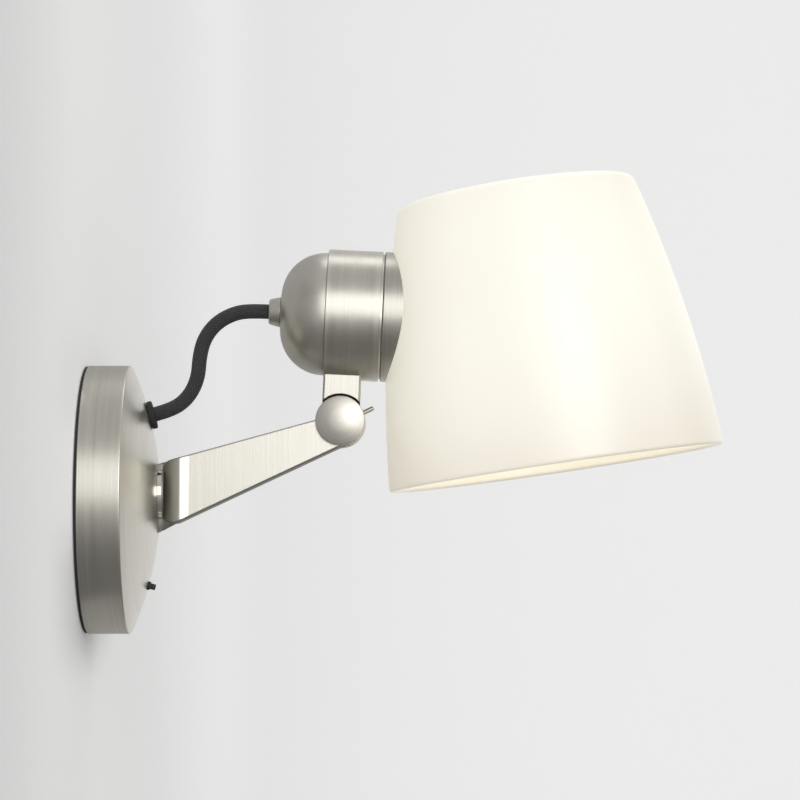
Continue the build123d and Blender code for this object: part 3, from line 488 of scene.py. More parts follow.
def fine_grain():
    """Fine even grain of a moulded or plated face."""

    def fill(nodes, given):
        grain = nodes.noise(given["Vector"], given["Scale"], detail=3.0, roughness=0.6)
        cloud = nodes.noise(given["Vector"], scale=90.0, detail=2.0, roughness=0.5)
        return {
            "Tone": nodes.spread(nodes.weighed(grain, 0.5, cloud, 0.5), 0.32, 0.68),
            "Roughness": nodes.spread(
                cloud, 0.3, 0.7, given["Least Roughness"], given["Most Roughness"]
            ),
            "Height": grain,
        }

    inputs = {"Scale": 2400.0, "Least Roughness": 0.4, "Most Roughness": 0.5}
    return shared_group("Fine Grain", inputs, fill)


def braid_weave():
    """Crossing strands of a braided cover, on a map that runs round and along the cord."""

    def fill(nodes, given):
        split = nodes.split(given["Vector"])
        around = nodes.math("MULTIPLY", split["X"], given["Strands"])
        along = nodes.math("MULTIPLY", split["Y"], given["Pitch"])
        left, right = (
            nodes.math("SINE", nodes.math("MULTIPLY", nodes.math(way, around, along), pi))
            for way in ("ADD", "SUBTRACT")
        )
        side = nodes.spread(nodes.math("MULTIPLY", left, right), -0.25, 0.25)
        raised = nodes.weighed(
            nodes.math("ABSOLUTE", left), side,
            nodes.math("ABSOLUTE", right), nodes.math("SUBTRACT", 1.0, side),
        )
        thread = nodes.noise(given["Vector"], scale=220.0, detail=2.0, roughness=0.6)
        height = nodes.weighed(raised, 0.8, thread, 0.2)
        # The tone follows the strands' height: painted highlight on raised strands and painted
        # shade between them, on the weave's real crossing pattern
        return {"Tone": nodes.spread(height, 0.25, 0.95), "Height": height}

    return shared_group("Braid Weave", {"Strands": 15.0, "Pitch": 620.0}, fill)


def new_material(name):
    """An empty material's nodes and its Principled shader."""
    material = bpy.data.materials.new(name)
    material.use_nodes = True
    material.node_tree.nodes.clear()
    nodes = Nodes(material.node_tree)
    shader = nodes.add("ShaderNodeBsdfPrincipled")
    end = nodes.add("ShaderNodeOutputMaterial")
    material.node_tree.links.new(shader.outputs[0], end.inputs["Surface"])
    return material, nodes, shader


def dimmed(shade, part):
    """A colour at part of its strength."""
    return tuple(part * channel for channel in shade)


def satin_metal(
    name, colours, place, radial=1.0, lines=2600.0, rough=(0.30, 0.38), masks=None, strength=1.0
):
    """Satin nickel with the lines of a lathe or a brush in a piece's own axes.

    Masks give places of painted shade, also rougher, and of painted highlight, also smoother.
    """
    material, nodes, shader = new_material(name)
    group = nodes.add(
        "ShaderNodeGroup", {"node_tree": brushed_lines()}, Vector=nodes.local(place),
        Radial=radial, Lines=lines, Least_Roughness=rough[0], Most_Roughness=rough[1],
    )
    # A strength under 1 dims the whole colour: painted shade on a copy of the metal
    tone = nodes.blend(
        group.outputs["Tone"], dimmed(colours.metal_line, strength), dimmed(colours.metal, strength)
    )
    roughness = group.outputs["Roughness"]
    if masks is not None:
        dull_and_shaded, polished_and_highlit = masks(nodes)
        # Painted shade where the first mask is, a painted highlight where the second is
        tone = nodes.blend(dull_and_shaded, tone, dimmed(colours.metal, PAINTED_SHADE_TONE))
        tone = nodes.blend(polished_and_highlit, tone, dimmed(colours.metal, PAINTED_HIGHLIGHT_TONE))
        matt = nodes.math("MULTIPLY", dull_and_shaded, DULL_ROUGHNESS)
        sleek = nodes.spread(polished_and_highlit, 0.0, 1.0, 1.0, POLISHED_SHARE)
        roughness = nodes.math("MULTIPLY", nodes.math("MAXIMUM", roughness, matt), sleek)
    normal = nodes.bump(group.outputs["Height"], strength=0.12, distance=0.00004)
    nodes.fill(shader, Base_Color=tone, Metallic=1.0, Roughness=roughness, Normal=normal)
    return material


def grained(name, colours):
    """A moulded, plated or blasted finish with a fine grain, made once."""
    if name in bpy.data.materials:
        return bpy.data.materials[name]
    shade, share, scale, rough, strength, metallic = GRAINED[name]
    light = getattr(colours, shade)
    material, nodes, shader = new_material(name)
    group = nodes.add(
        "ShaderNodeGroup", {"node_tree": fine_grain()}, Vector=nodes.point(), Scale=scale,
        Least_Roughness=rough[0], Most_Roughness=rough[1],
    )
    tone = nodes.blend(group.outputs["Tone"], dimmed(light, share), light)
    roughness = group.outputs["Roughness"]
    normal = nodes.bump(group.outputs["Height"], strength, distance=0.00005)
    nodes.fill(shader, Base_Color=tone, Metallic=metallic, Roughness=roughness, Normal=normal)
    return material


def fabric_braid(colours):
    """Braided black fabric of the cord."""
    material, nodes, shader = new_material("fabric_braid")
    around = nodes.add("ShaderNodeUVMap", {"uv_map": "cord_map"}).outputs["UV"]
    group = nodes.add("ShaderNodeGroup", {"node_tree": braid_weave()}, Vector=around)
    # Painted highlight on raised strands and painted shade between them, after the weave's height
    tone = nodes.blend(group.outputs["Tone"], colours.cord, colours.cord_highlight)
    strands = nodes.bump(group.outputs["Height"], strength=0.7, distance=0.00035)
    nodes.fill(shader, Base_Color=tone, Roughness=0.85, Normal=strands)
    nodes.fill(shader, Sheen_Weight=0.08, Sheen_Roughness=0.45)
    return material


def bulb_centre(head):
    """Middle of the bulb's globe."""
    low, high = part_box("bulb_glass")
    across = (high - low) / 2
    along = high.x - across.z
    axis = housing_place(head)
    reach = (along - axis.to_translation().x) / cos(head.droop)
    return axis @ Vector((reach, 0, 0))


def opal_glass(colours, head):
    """Opal glass with a painted glow: bright by the bulb, dimmer far off and behind its holder."""
    material, nodes, shader = new_material("opal_glass")
    near, far = 0.055, 0.095
    shadowed, clear = -0.052, -0.020
    place = Matrix.Translation(bulb_centre(head)) @ Matrix.Rotation(head.droop, 4, "Y")
    point = nodes.local(place)
    away = nodes.spread(nodes.reach(point), near, far)
    # Painted shadow of the holder on the glass
    behind = nodes.spread(nodes.split(point)["X"], shadowed, clear, 1.0, 0.0)
    dim = nodes.weighed(away, 0.75, behind, 0.25, clamp=True)
    cloud = nodes.noise(point, scale=35.0, detail=2.0, roughness=0.5)
    tone = nodes.blend(cloud, dimmed(colours.glass, 0.965), colours.glass)
    glow = nodes.blend(dim, colours.glow, colours.glow_far)
    roughness = nodes.spread(cloud, 0.3, 0.7, 0.29, 0.35)
    nodes.fill(shader, Base_Color=tone, Roughness=roughness)
    # Painted glow: the emission stands in for the bulb's light through the glass
    nodes.fill(shader, Emission_Color=glow, Emission_Strength=0.39)
    return material


def lit_bulb(colours):
    """Frosted bulb glass with the lamp on."""
    material, nodes, shader = new_material("lit_bulb")
    cloud = nodes.noise(nodes.point(), scale=60.0, detail=2.0, roughness=0.5)
    tone = nodes.blend(cloud, dimmed(colours.glass, 0.95), colours.glass)
    glow = nodes.blend(cloud, dimmed(colours.glow, 0.94), colours.glow)
    nodes.fill(shader, Base_Color=tone, Roughness=0.35)
    nodes.fill(shader, Emission_Color=glow, Emission_Strength=1.6)
    return material


class LAMP_OT_wall_cup(Operator):
    """Turns the wall cup and dresses its gasket."""

    bl_idname = "wall_lamp.wall_cup"
    bl_label = "Wall Cup"

    def execute(self, context):
        wall_side, _, _, colours = sizes(context)
        radius, wall = wall_side.cup_radius, wall_side.cup_wall
        back = wall_side.cup_back
        front = back + wall_side.rim_depth
        apex = dome_apex(wall_side)
        sphere = dome_radius(wall_side)
        middle = apex - sphere
        bore = radius - wall
        inner_turn = asin(bore / (sphere - wall))
        outline = Outline(apex - wall, 0)
        outline.arc(middle, 0, inner_turn, steps=28)
        outline.line((back, bore), (back, radius), (front, radius))
        outline.arc(middle, 0, -asin(radius / sphere), steps=36)
        bm = softened(outline.turned(steps=224), wall_side.rim_edge, segments=4)
        metal = satin_metal("turned_cup", colours, Matrix.Identity(4))
        add_piece("cup_shell", bm, metal, "wall_side", "wall_cup")
        dress(grained("black_rubber", colours), "wall_gasket")
        return {"FINISHED"}


class LAMP_OT_cord(Operator):
    """Lays the fabric cord from the grommet to the head."""

    bl_idname = "wall_lamp.cord"
    bl_label = "Cord"

    def execute(self, context):
        colours = sizes(context)[3]
        path = self.route(context)
        bm, run = self.tube(path)
        cord = add_piece("cord_braid", bm, fabric_braid(colours), None, "cord")
        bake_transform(cord)
        dress(cord.data.materials[0], "cup_cord_tail", "head_cord_tail")
        return {"FINISHED"}

    def route(self, context):
        """Points of a smooth curve that follows the cord's route."""
        curve = bpy.data.curves.new("cord_route", "CURVE")
        curve.dimensions = "3D"
        curve.resolution_u = 14
        spline = curve.splines.new("NURBS")
        spline.points.add(len(CORD_ROUTE) - 1)
        for point, place in zip(spline.points, CORD_ROUTE):
            point.co = (*place, 1)
        spline.order_u = 3
        spline.use_endpoint_u = True
        holder = linked("cord_route", curve)
        context.view_layer.update()
        line = bpy.data.meshes.new_from_object(holder)
        path = [vert.co.copy() for vert in line.vertices]
        bpy.data.objects.remove(holder)
        bpy.data.curves.remove(curve)
        bpy.data.meshes.remove(line)
        return path

    def stations(self, path):
        """Places along the path, with X across the lamp and Z ahead."""
        side = Vector((0, 1, 0))
        places = []
        for before, point, after in zip(path[:1] + path, path, path[1:] + path[-1:]):
            ahead = (after - before).normalized()
            turn = Matrix((side, ahead.cross(side), ahead)).transposed().to_4x4()
            places.append(Matrix.Translation(point) @ turn)
        return places

    def tube(self, path):
        """A tube along the path, with a map round and along it, and the path's length."""
        bm = bmesh.new()
        cord_map = bm.loops.layers.uv.new("cord_map")
        bmesh.ops.create_circle(bm, cap_ends=False, segments=32, radius=CORD_RADIUS)
        ring = bm.edges[:]
        places = self.stations(path)
        bmesh.ops.transform(bm, matrix=places[0], verts=bm.verts[:])
        run = 0.0
        for i in range(1, len(path)):
            made = bmesh.ops.extrude_edge_only(bm, edges=ring)["geom"]
            ring = [edge for edge in picked(made, BMEdge) if edge.is_boundary]
            fresh = picked(made, BMVert)
            bmesh.ops.transform(bm, matrix=places[i] @ places[i - 1].inverted(), verts=fresh)
            step = (path[i] - path[i - 1]).length
            for face in picked(made, BMFace):
                for loop in face.loops:
                    ahead = loop.vert in fresh
                    local = places[i if ahead else i - 1].inverted() @ loop.vert.co
                    share = (atan2(local.y, local.x) / (2 * pi)) % 1.0
                    loop[cord_map].uv = (share, run + (step if ahead else 0.0))
                low = min(loop[cord_map].uv.x for loop in face.loops)
                for loop in face.loops:
                    if loop[cord_map].uv.x - low > 0.5:
                        loop[cord_map].uv.x -= 1.0
            run += step
        bmesh.ops.holes_fill(bm, edges=[edge for edge in bm.edges if edge.is_boundary], sides=0)
        bmesh.ops.recalc_face_normals(bm, faces=bm.faces[:])
        return bm, run


class LAMP_OT_grommet(Operator):
    """Turns the rubber grommet where the cord leaves the cup."""

    bl_idname = "wall_lamp.grommet"
    bl_label = "Cord Grommet"

    def execute(self, context):
        wall_side, _, _, colours = sizes(context)
        face, seat, inside, end = 0.0021, 0.0001, -0.0017, -0.0033
        bore, flange, groove, lip = 0.0028, 0.00525, 0.0042, 0.005
        outline = Outline(face, bore).line(
            (face, flange), (seat, flange), (seat, groove), (inside, groove), (inside, lip),
            (end, lip), (end, bore),
        )
        bm = softened(outline.close().turned(steps=64), width=0.0004, segments=3)
        black = grained("black_rubber", colours)
        place = dome_place(wall_side, wall_side.grommet_place)
        add_piece("grommet", bm, black, "wall_side", "cord_grommet", place)
        return {"FINISHED"}


class LAMP_OT_switch(Operator):
    """Turns the push switch's collar and button."""

    bl_idname = "wall_lamp.switch"
    bl_label = "Push Switch"

    def execute(self, context):
        wall_side, _, _, colours = sizes(context)
        place = dome_place(wall_side, wall_side.switch_place)
        black = grained("black_plastic", colours)
        face, seat, end = 0.00095, 0.0001, -0.0057
        bore, flange, barrel = 0.00115, 0.0016, 0.0014
        collar = Outline(face, bore).line(
            (face, flange), (seat, flange), (seat, barrel), (end, barrel), (end, bore)
        )
        bm = softened(collar.close().turned(steps=48), width=0.00012, segments=2)
        add_piece("switch_ring", bm, black, "wall_side", "switch_collar", place)
        tip, stop, root = 0.00295, -0.00585, -0.00685
        stem, heel = 0.0011, 0.0019
        button = Outline(tip, 0).line(
            (tip, stem), (stop, stem), (stop, heel), (root, heel), (root, 0)
        )
        bm = softened(button.turned(steps=48), width=0.0002, segments=3)
        add_piece("switch_pin", bm, black, "button", "switch_button", place)
        dress(black, "switch_body")
        return {"FINISHED"}


class LAMP_OT_arm(Operator):
    """Brushes the arm and turns the pivot's cap, knob and lever."""

    bl_idname = "wall_lamp.arm"
    bl_label = "Arm and Pivot"

    def execute(self, context):
        _, head, _, colours = sizes(context)
        # Painted shade on the arm's underside and foot, a painted highlight on its core
        brushed = satin_metal(
            "brushed_arm", colours, Matrix.Identity(4), radial=0.0, lines=3000.0,
            rough=(0.25, 0.31), masks=self.shade_and_highlight_masks,
        )
        dress(brushed, "arm")
        near = Matrix.Translation(PIVOT) @ Matrix.Rotation(-pi / 2, 4, "Z")
        turned = satin_metal("turned_pivot", colours, near, lines=1500.0, rough=(0.38, 0.46))
        foot, rim, rise = 0.00805, 0.0020, 0.00175
        radius = head.pivot_cap_radius
        sphere = (radius**2 + rise**2) / (2 * rise)
        cap = Outline(foot, 0).line((foot, radius), (foot + rim, radius))
        cap.arc(foot + rim + rise - sphere, 0, -asin(radius / sphere), steps=28)
        bm = softened(cap.turned(steps=96), width=0.00018, segments=2)
        add_piece("pivot_dome", bm, turned, "wall_side", "pivot_cap", near)
        self.clamp(colours, turned)
        return {"FINISHED"}

    def clamp(self, colours, turned):
        """The knob on the pivot's far side and its lever."""
        far = Matrix.Translation(PIVOT) @ Matrix.Rotation(pi / 2, 4, "Z")
        low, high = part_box("clamp_knob")
        inner, outer = low.y, high.y
        dish, web = outer - 0.0004, outer - 0.0009
        bore, grip, brim, floor = 0.00305, 0.0093, 0.0075, 0.0068
        knob = Outline(inner, bore).line(
            (inner, grip), (outer, grip), (outer, brim), (dish, floor), (dish, 0), (web, 0),
            (web, bore),
        )
        bm = softened(knob.close().turned(steps=96), width=0.0003, segments=3)
        add_piece("knob", bm, turned, "clamp", "clamp_knob", far)
        lift, root, tip, thin = radians(25.6), 0.0045, 0.0137, 0.0009
        middle = Matrix.Translation(PIVOT + Vector((0, (inner + outer) / 2, 0)))
        place = middle @ Matrix.Rotation(-lift, 4, "Y")
        lever = Outline(root, 0).line((root, thin), (tip, thin), (tip, 0))
        bm = softened(lever.turned(steps=32), width=0.00045, segments=4)
        pin = satin_metal("turned_lever", colours, place, lines=1500.0)
        add_piece("lever", bm, pin, "clamp", "lever_pin", place)

    def shade_and_highlight_masks(self, nodes):
        """Masks of the arm's painted shade, on underside and foot, and painted highlight, on its
        core.
        """
        # The first mask also roughens its places and the second smooths the core
        lean, end_radius = radians(25.1), 0.0087
        skin, skin_fade = 0.0002, 0.0006
        core_end, foot_end, foot_fade, foot_share = 0.0283, 0.0353, 0.0008, 0.85
        corner = PIVOT + Vector((end_radius * sin(lean), 0, -end_radius * cos(lean)))
        under = Matrix.Translation(corner) @ Matrix.Rotation(-lean, 4, "Y")
        height = nodes.split(nodes.local(under))["Z"]
        low = nodes.spread(height, skin, skin_fade, 1.0, 0.0)
        reach = nodes.split(nodes.point())["X"]
        core = nodes.math("LESS_THAN", reach, core_end)
        foot = nodes.spread(reach, foot_end - foot_fade, foot_end + foot_fade, foot_share, 0.0)
        foot = nodes.math("MULTIPLY", foot, nodes.math("SUBTRACT", 1.0, core))
        return nodes.math("MAXIMUM", low, foot), core


class LAMP_OT_neck(Operator):
    """Shapes the neck with its chamfered corners, hollow shoulder and tongue."""

    bl_idname = "wall_lamp.neck"
    bl_label = "Neck"

    def execute(self, context):
        _, head, _, colours = sizes(context)
        half, depth = head.neck_width / 2, head.neck_depth
        shoulder, top, upright = 0.0101, 0.0172, 0.005
        start = sqrt(shoulder**2 - half**2)
        block = Outline(half, start).arc(0, 0, pi - 2 * atan2(start, half), steps=16)
        bm = block.line((-half, top), (half, top)).close().extruded(depth)
        corners = [
            edge for edge in bm.edges
            if self.rise(edge) > upright
            and all(abs(abs(vert.co.y) - depth / 2) < 1e-6 for vert in edge.verts)
        ]
        softened(bm, width=0.0015, segments=1, edges=corners)
        ends = [edge for edge in sharp_edges(bm) if self.rise(edge) < upright]
        softened(bm, width=0.00018, segments=2, edges=ends)
        place = head_place(head)
        metal = satin_metal("brushed_neck", colours, place, radial=0.0, lines=2000.0)
        add_piece("neck_block", bm, metal, "head", "neck", place)
        tongue_top, tongue_depth = 0.012, 0.0064
        tongue = Outline(half, tongue_top).line((half, 0)).arc(0, 0, -pi, steps=32)
        bm = tongue.line((-half, tongue_top)).close().extruded(tongue_depth)
        softened(bm, width=0.0001, segments=2)
        # Painted shade: the tongue is black to show the shade in the gap round the pivot cap
        dark = grained("blackened", colours)
        add_piece("neck_tongue", bm, dark, "head", "neck", place)
        return {"FINISHED"}

    def rise(self, edge):
        """Height from one end of an edge to the other."""
        return abs(edge.verts[0].co.z - edge.verts[1].co.z)


class LAMP_OT_housing(Operator):
    """Turns the lampholder housing, rear cap and cord collar, and dresses the shade seat."""

    bl_idname = "wall_lamp.housing"
    bl_label = "Housing"

    def execute(self, context):
        _, head, _, colours = sizes(context)
        place = housing_place(head)
        radius, back, front = head.housing_radius, head.housing_back, head.housing_front
        metal = satin_metal("turned_housing", colours, place, lines=2400.0)
        bore, step, opening = radius - 0.0016, radius - 0.00095, 0.01405
        nose, floor = front + 0.00075, front - 0.00145
        tube = Outline(back, bore).line(
            (back, radius), (front, radius), (front, step), (nose, step), (nose, opening),
            (floor, opening), (floor, bore),
        )
        bm = softened(tube.close().turned(steps=192), width=0.00012, segments=2)
        add_piece("housing_tube", bm, metal, "head", "housing", place)
        blasted = grained("bead_blasted", colours)
        bm = softened(self.rear_cap(radius, back).turned(steps=192), width=0.00025, segments=2)
        add_piece("cap_shell", bm, blasted, "head", "rear_cap", place)
        tip, foot = -0.02866, -0.02426
        end = foot + 0.0045
        way, nose, base, barrel = 0.0028, 0.0046, 0.00575, 0.0039
        collar = Outline(tip, way).line(
            (tip, nose), (foot, base), (foot, barrel), (end, barrel), (end, way)
        )
        bm = softened(collar.close().turned(steps=72), width=0.0005, segments=3)
        add_piece("collar_cone", bm, blasted, "head", "cord_collar", place)
        # Painted shade: the shade seat takes the satin nickel at 0.85 of its colour
        seat = satin_metal("turned_seat", colours, place, lines=2400.0, strength=0.85)
        dress(seat, "shade_seat")
        return {"FINISHED"}

    def rear_cap(self, housing, back):
        """Outline of the rear cap: a shallow crown, a round knuckle and a spigot inside."""
        seam, straight, spigot = back - 0.00005, back - 0.0005, back + 0.003
        radius, spigot_radius = housing - 0.0014, housing - 0.00165
        knuckle, crown, wall, hole = 0.0167, 0.106, 0.0015, 0.00395
        knuckle_z = radius - knuckle
        crown_x = straight + sqrt((crown - knuckle) ** 2 - knuckle_z**2)
        meet = atan2(knuckle_z, straight - crown_x)
        hole_turn = asin(hole / crown)
        inner_turn = asin(hole / (crown - wall))
        cap = Outline(seam, radius).line((straight, radius))
        cap.arc(straight, knuckle_z, meet - pi / 2, steps=28)
        cap.arc(crown_x, 0, pi - meet - hole_turn, steps=22)
        cap.line((crown_x - (crown - wall) * cos(inner_turn), hole))
        cap.arc(crown_x, 0, meet + inner_turn - pi, steps=16)
        cap.arc(straight, knuckle_z, pi / 2 - meet, steps=20)
        cap.line((spigot, radius - wall), (spigot, spigot_radius), (seam, spigot_radius))
        return cap.close()


class LAMP_OT_shade(Operator):
    """Blows the opal glass shade and the lit bulb."""

    bl_idname = "wall_lamp.shade"
    bl_label = "Shade and Bulb"

    def execute(self, context):
        _, head, shade, colours = sizes(context)
        curve, draft, height, glass = (
            shade.curve_radius, shade.rim_draft, shade.height, shade.glass
        )
        level = -curve * sin(draft)
        offset = shade.rim_radius - curve * cos(draft)
        top = asin((height - level) / curve)
        inner_top = asin((height - glass - level) / (curve - glass))
        inner_rim = asin(-level / (curve - glass))
        wall = Outline(shade.rim_radius, 0).arc(offset, level, top - draft, steps=48)
        wall.line((0, height), (0, height - glass))
        wall.line((offset + (curve - glass) * cos(inner_top), height - glass))
        wall.arc(offset, level, inner_rim - inner_top, steps=48)
        bm = wall.close().turned(steps=256, axis=(0, 0, 1))
        rim = [edge for edge in sharp_edges(bm) if max(vert.co.z for vert in edge.verts) < glass]
        softened(bm, width=0.0013, segments=5, edges=rim)
        for corner_z, width in ((height, 0.0040), (height - glass, 0.0016)):
            corner = [
                edge for edge in sharp_edges(bm)
                if all(abs(vert.co.z - corner_z) < 1e-5 for vert in edge.verts)
            ]
            softened(bm, width, segments=8, edges=corner)
        seat, hole_height = 0.0159, 0.0654
        hole_radius = offset + sqrt(curve**2 - (hole_height - level) ** 2)
        place = (
            housing_place(head)
            @ Matrix.Translation((seat, 0, 0))
            @ Matrix.Rotation(-shade.cant, 4, "Y")
            @ Matrix.Translation((hole_radius, 0, -hole_height))
        )
        opal = opal_glass(colours, head)
        add_piece("shade_glass", bm, opal, "head", "shade", place)
        self.bulb(head, shade.bulb_radius, lit_bulb(colours))
        return {"FINISHED"}

    def bulb(self, head, globe, frosted):
        """The bulb's glass: a globe that a cone joins to its screw cap."""
        place = housing_place(head)
        middle = (place.inverted() @ bulb_centre(head)).x
        foot, neck = 0.0314, 0.0076
        run = middle - foot
        slope = asin(globe / hypot(run, neck)) - atan2(neck, run)
        bulb = Outline(foot, 0).line(
            (foot, neck), (middle - globe * sin(slope), globe * cos(slope))
        )
        bm = bulb.arc(middle, 0, -(pi / 2 + slope), steps=40).turned(steps=96)
        add_piece("bulb_globe", bm, frosted, "head", "bulb_glass", place)


class LAMP_OT_inner_parts(Operator):
    """Dresses the parts inside the cup, the pivot and the shade."""

    bl_idname = "wall_lamp.inner_parts"
    bl_label = "Inner Parts"

    def execute(self, context):
        colours = sizes(context)[3]
        dress(
            grained("zinc_plate", colours), "wall_plate", "cup_screws", "earth_screw", "arm_disc",
            "arm_washer", "arm_bolt", "pivot_bolt", "spring_washer", "neck_screws", "collar_nut",
            "bulb_cap",
        )
        dress(
            grained("plain_brass", colours), "terminal_screws", "earth_tag", "screw_shell",
            "centre_contact",
        )
        dress(
            grained("porcelain", colours), "terminal_block", "lampholder", "clamp_ring",
            "friction_washers",
        )
        dress(grained("black_rubber", colours), "shade_washer")
        return {"FINISHED"}


class LAMP_OT_stage(Operator):
    """Builds the pale wall, the soft lights, the world and the camera."""

    bl_idname = "wall_lamp.stage"
    bl_label = "Stage"

    def execute(self, context):
        scene = context.scene
        scene.view_settings.view_transform = "Standard"
        self.wall(scene.lamp_colours)
        self.lights()
        self.world(scene)
        self.camera(scene)
        return {"FINISHED"}

    def wall(self, colours):
        """A wall that bends into a backdrop behind the lamp, seen from its front only."""
        back, floor, height = -0.0003, -3.0, 6.0
        near, bend, bend_x, end = -2.5, 1.6, 1.2, 4.0
        bm = bmesh.new()
        tip = drawn_on(bm, bm.verts.new((back, near, floor)), (back, bend, floor))
        tip = swung(bm, [tip], (bend_x, bend, floor), (0, 0, -1), pi / 2, steps=32)[0]
        drawn_on(bm, tip, (end, tip.co.y, floor))
        drawn = bmesh.ops.extrude_edge_only(bm, edges=bm.edges[:])["geom"]
        bmesh.ops.translate(bm, vec=(0, 0, height), verts=picked(drawn, BMVert))
        for face in bm.faces:
            face.normal_update()
            if face.normal.dot(Vector((1, -1, 0))) < 0:
                face.normal_flip()
            face.smooth = True
        sheet = meshed("wall_sheet", bm, self.paint(colours))

    def paint(self, colours):
        """Pale paint that keeps shadows, with a lift that only the eye and far reflections meet.

        Its back is clear, and in front of the lamp so is its face, to reflections and to the fill.
        """
        mirror_lift, clear_depth = 1.22, -0.03
        material, nodes, shader = new_material("painted_wall")
        point = nodes.point()
        roller = nodes.noise(point, scale=9.0, detail=3.0, roughness=0.5)
        tone = nodes.blend(roller, dimmed(colours.wall, 0.985), colours.wall)
        nodes.fill(shader, Base_Color=tone, Roughness=0.9, Specular_IOR_Level=0.1)
        path = nodes.add("ShaderNodeLightPath").outputs
        split = nodes.split(point)
        depth, rise = split["Y"], split["Z"]
        level = nodes.spread(nodes.math("ABSOLUTE", rise), 0.4, 1.6, 1.0, 0.6)
        far = nodes.math("MULTIPLY", nodes.spread(depth, 0.2, 2.4), level)
        mirrored = nodes.math("MAXIMUM", path["Is Glossy Ray"], path["Is Transmission Ray"])
        mirrored = nodes.math("MULTIPLY", nodes.math("MULTIPLY", mirrored, far), mirror_lift)
        seen = nodes.math("MAXIMUM", path["Is Camera Ray"], mirrored)
        grey = nodes.spread(depth, -0.35, 0.0, 0.17, 0.29)
        for start, stop, lift in ((0.0, 1.0, 0.14), (1.6, 2.6, 0.04)):
            grey = nodes.math("ADD", grey, nodes.spread(depth, start, stop, 0.0, lift))
        # A painted shadow round the cup is taken off the wall's lift
        grey = nodes.math("SUBTRACT", grey, self.painted_cup_shadow(nodes, point, rise))
        glow = nodes.add("ShaderNodeEmission", Strength=nodes.math("MULTIPLY", seen, grey))
        front = nodes.add("ShaderNodeAddShader")
        nodes.feed(front, 0, shader.outputs[0])
        nodes.feed(front, 1, glow.outputs[0])
        passing = nodes.math("MAXIMUM", path["Is Glossy Ray"], path["Is Shadow Ray"])
        near = nodes.math("MULTIPLY", passing, nodes.math("LESS_THAN", depth, clear_depth))
        behind = nodes.add("ShaderNodeNewGeometry").outputs["Backfacing"]
        clear = nodes.add("ShaderNodeBsdfTransparent")
        sided = nodes.add("ShaderNodeMixShader")
        nodes.feed(sided, 0, nodes.math("MAXIMUM", near, behind))
        nodes.feed(sided, 1, front.outputs[0])
        nodes.feed(sided, 2, clear.outputs[0])
        end = next(node for node in material.node_tree.nodes if node.type == "OUTPUT_MATERIAL")
        nodes.feed(end, "Surface", sided.outputs[0])
        return material

    def painted_cup_shadow(self, nodes, point, rise):
        """Painted shadow on the wall round the cup, deepest beside its lower half."""
        low = nodes.math(
            "MULTIPLY",
            nodes.spread(rise, -0.030, -0.002, 1.0, 0.0),
            nodes.spread(rise, -0.072, -0.046),
        )
        high = nodes.math(
            "MULTIPLY",
            nodes.spread(rise, 0.015, 0.035, 0.0, 0.4),
            nodes.spread(rise, 0.046, 0.072, 1.0, 0.0),
        )
        around = nodes.spread(nodes.reach(point), 0.05, 0.14, 0.15, 0.0)
        return nodes.math("MULTIPLY", around, nodes.math("ADD", low, high))

    def lights(self):
        """Soft panels in front, above and beside, a strip for reflections and a fill for light."""
        for name, place, aim, width, depth, radiance, lighting, mirrored in (
            ("front_panel", (0.645, -2.03, 0.635), (0.1, 0, 0.04), 2.04, 1.6, 1.34, True, True),
            ("right_strip", (0.82, -1.75, 0.42), (0.1, 0, 0.04), 0.95, 1.4, 2.0, False, True),
            ("top_panel", (0.25, 0.44, 1.45), (0.15, 0, 0.05), 2.2, 0.55, 1.5, True, True),
            ("side_panel", (2.0, -0.7, 0.6), (0.1, 0.1, 0.0), 1.6, 1.6, 0.25, True, True),
            ("left_fill", (-0.6, -1.6, 0.55), (0.15, 0, 0.05), 0.9, 0.9, 2.2, True, False),
        ):
            lamp = bpy.data.lights.new(name, "AREA")
            lamp.shape = "RECTANGLE"
            lamp.size = width
            lamp.size_y = depth
            lamp.energy = radiance * pi * width * depth
            panel = linked(name, lamp)
            panel.location = place
            way = Vector(aim) - Vector(place)
            panel.rotation_euler = way.to_track_quat("-Z", "Y").to_euler()
            panel.visible_camera = False
            panel.visible_diffuse = lighting
            panel.visible_glossy = mirrored

    def world(self, scene):
        """A pale room to the eye; for the lamp, light above and darker below and to the left."""
        below = (0.185, 0.18, 0.175)
        level, above, shown = ((grey,) * 3 for grey in (0.47, 0.54, 0.80))
        world = bpy.data.worlds.new("pale_room")
        world.use_nodes = True
        world.node_tree.nodes.clear()
        nodes = Nodes(world.node_tree)
        way = nodes.split(nodes.add("ShaderNodeTexCoord").outputs["Generated"])
        tone = nodes.blend(nodes.spread(way["Z"], -0.8, 0.05), below, level)
        tone = nodes.blend(nodes.spread(way["Z"], 0.6, 1.0), tone, above)
        eye = nodes.add("ShaderNodeLightPath").outputs["Is Camera Ray"]
        tone = nodes.blend(eye, tone, shown)
        strength = nodes.math("MAXIMUM", eye, nodes.spread(way["X"], -0.9, 0.0, 0.75, 1.0))
        back = nodes.add("ShaderNodeBackground", Color=tone, Strength=strength)
        end = nodes.add("ShaderNodeOutputWorld")
        world.node_tree.links.new(back.outputs[0], end.inputs["Surface"])
        scene.world = world

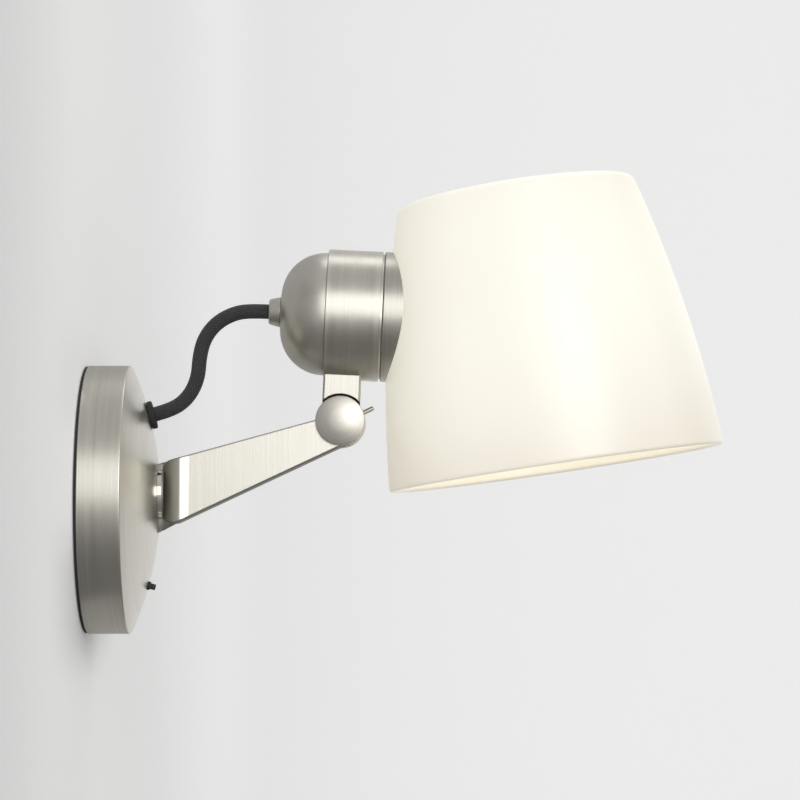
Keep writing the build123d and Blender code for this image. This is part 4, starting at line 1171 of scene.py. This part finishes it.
    def camera(self, scene):
        """The photograph's view, level with the cup and a little below the shade."""
        lens = bpy.data.cameras.new("view")
        lens.lens = 131.34
        lens.sensor_width = 36.0
        lens.clip_start = 0.05
        camera = linked("view", lens)
        camera.location = (0.11185, -1.091, -0.030)
        aim = Vector((0.1169, 0.0, 0.0373)) - camera.location
        camera.rotation_euler = aim.to_track_quat("-Z", "Y").to_euler()
        scene.camera = camera


PIECE_OPERATORS = (
    LAMP_OT_stage,
    LAMP_OT_cord,
    LAMP_OT_wall_cup,
    LAMP_OT_grommet,
    LAMP_OT_switch,
    LAMP_OT_arm,
    LAMP_OT_neck,
    LAMP_OT_housing,
    LAMP_OT_shade,
    LAMP_OT_inner_parts,
)


class LAMP_PT_pieces(Panel):
    """Lists the lamp's pieces and their settings."""

    bl_idname = "LAMP_PT_pieces"
    bl_label = "Wall Lamp"
    bl_space_type = "VIEW_3D"
    bl_region_type = "UI"
    bl_category = "Wall Lamp"

    def draw(self, context):
        for group in sizes(context):
            box = self.layout.box()
            for name in group.__annotations__:
                box.prop(group, name)
        for operator in PIECE_OPERATORS:
            self.layout.operator(operator.bl_idname)


GROUPS = (
    ("lamp_wall_side", WallSideSizes),
    ("lamp_head", HeadSizes),
    ("lamp_shade", ShadeSizes),
    ("lamp_colours", LampColours),
)


def register():
    """Adds the lamp's settings, operators and panel."""
    for name, group in GROUPS:
        bpy.utils.register_class(group)
        setattr(bpy.types.Scene, name, PointerProperty(type=group))
    for cls in (*PIECE_OPERATORS, LAMP_PT_pieces):
        bpy.utils.register_class(cls)


def unregister():
    """Removes them again."""
    for cls in reversed((*PIECE_OPERATORS, LAMP_PT_pieces)):
        bpy.utils.unregister_class(cls)
    for name, group in reversed(GROUPS):
        delattr(bpy.types.Scene, name)
        bpy.utils.unregister_class(group)


def main():
    """Builds the dressed lamp."""
    register()
    bpy.ops.wall_lamp.stage()
    bpy.ops.wall_lamp.cord()
    bpy.ops.wall_lamp.wall_cup()
    bpy.ops.wall_lamp.grommet()
    bpy.ops.wall_lamp.switch()
    bpy.ops.wall_lamp.arm()
    bpy.ops.wall_lamp.neck()
    bpy.ops.wall_lamp.housing()
    bpy.ops.wall_lamp.shade()
    bpy.ops.wall_lamp.inner_parts()


if __name__ == "__main__":
    main()
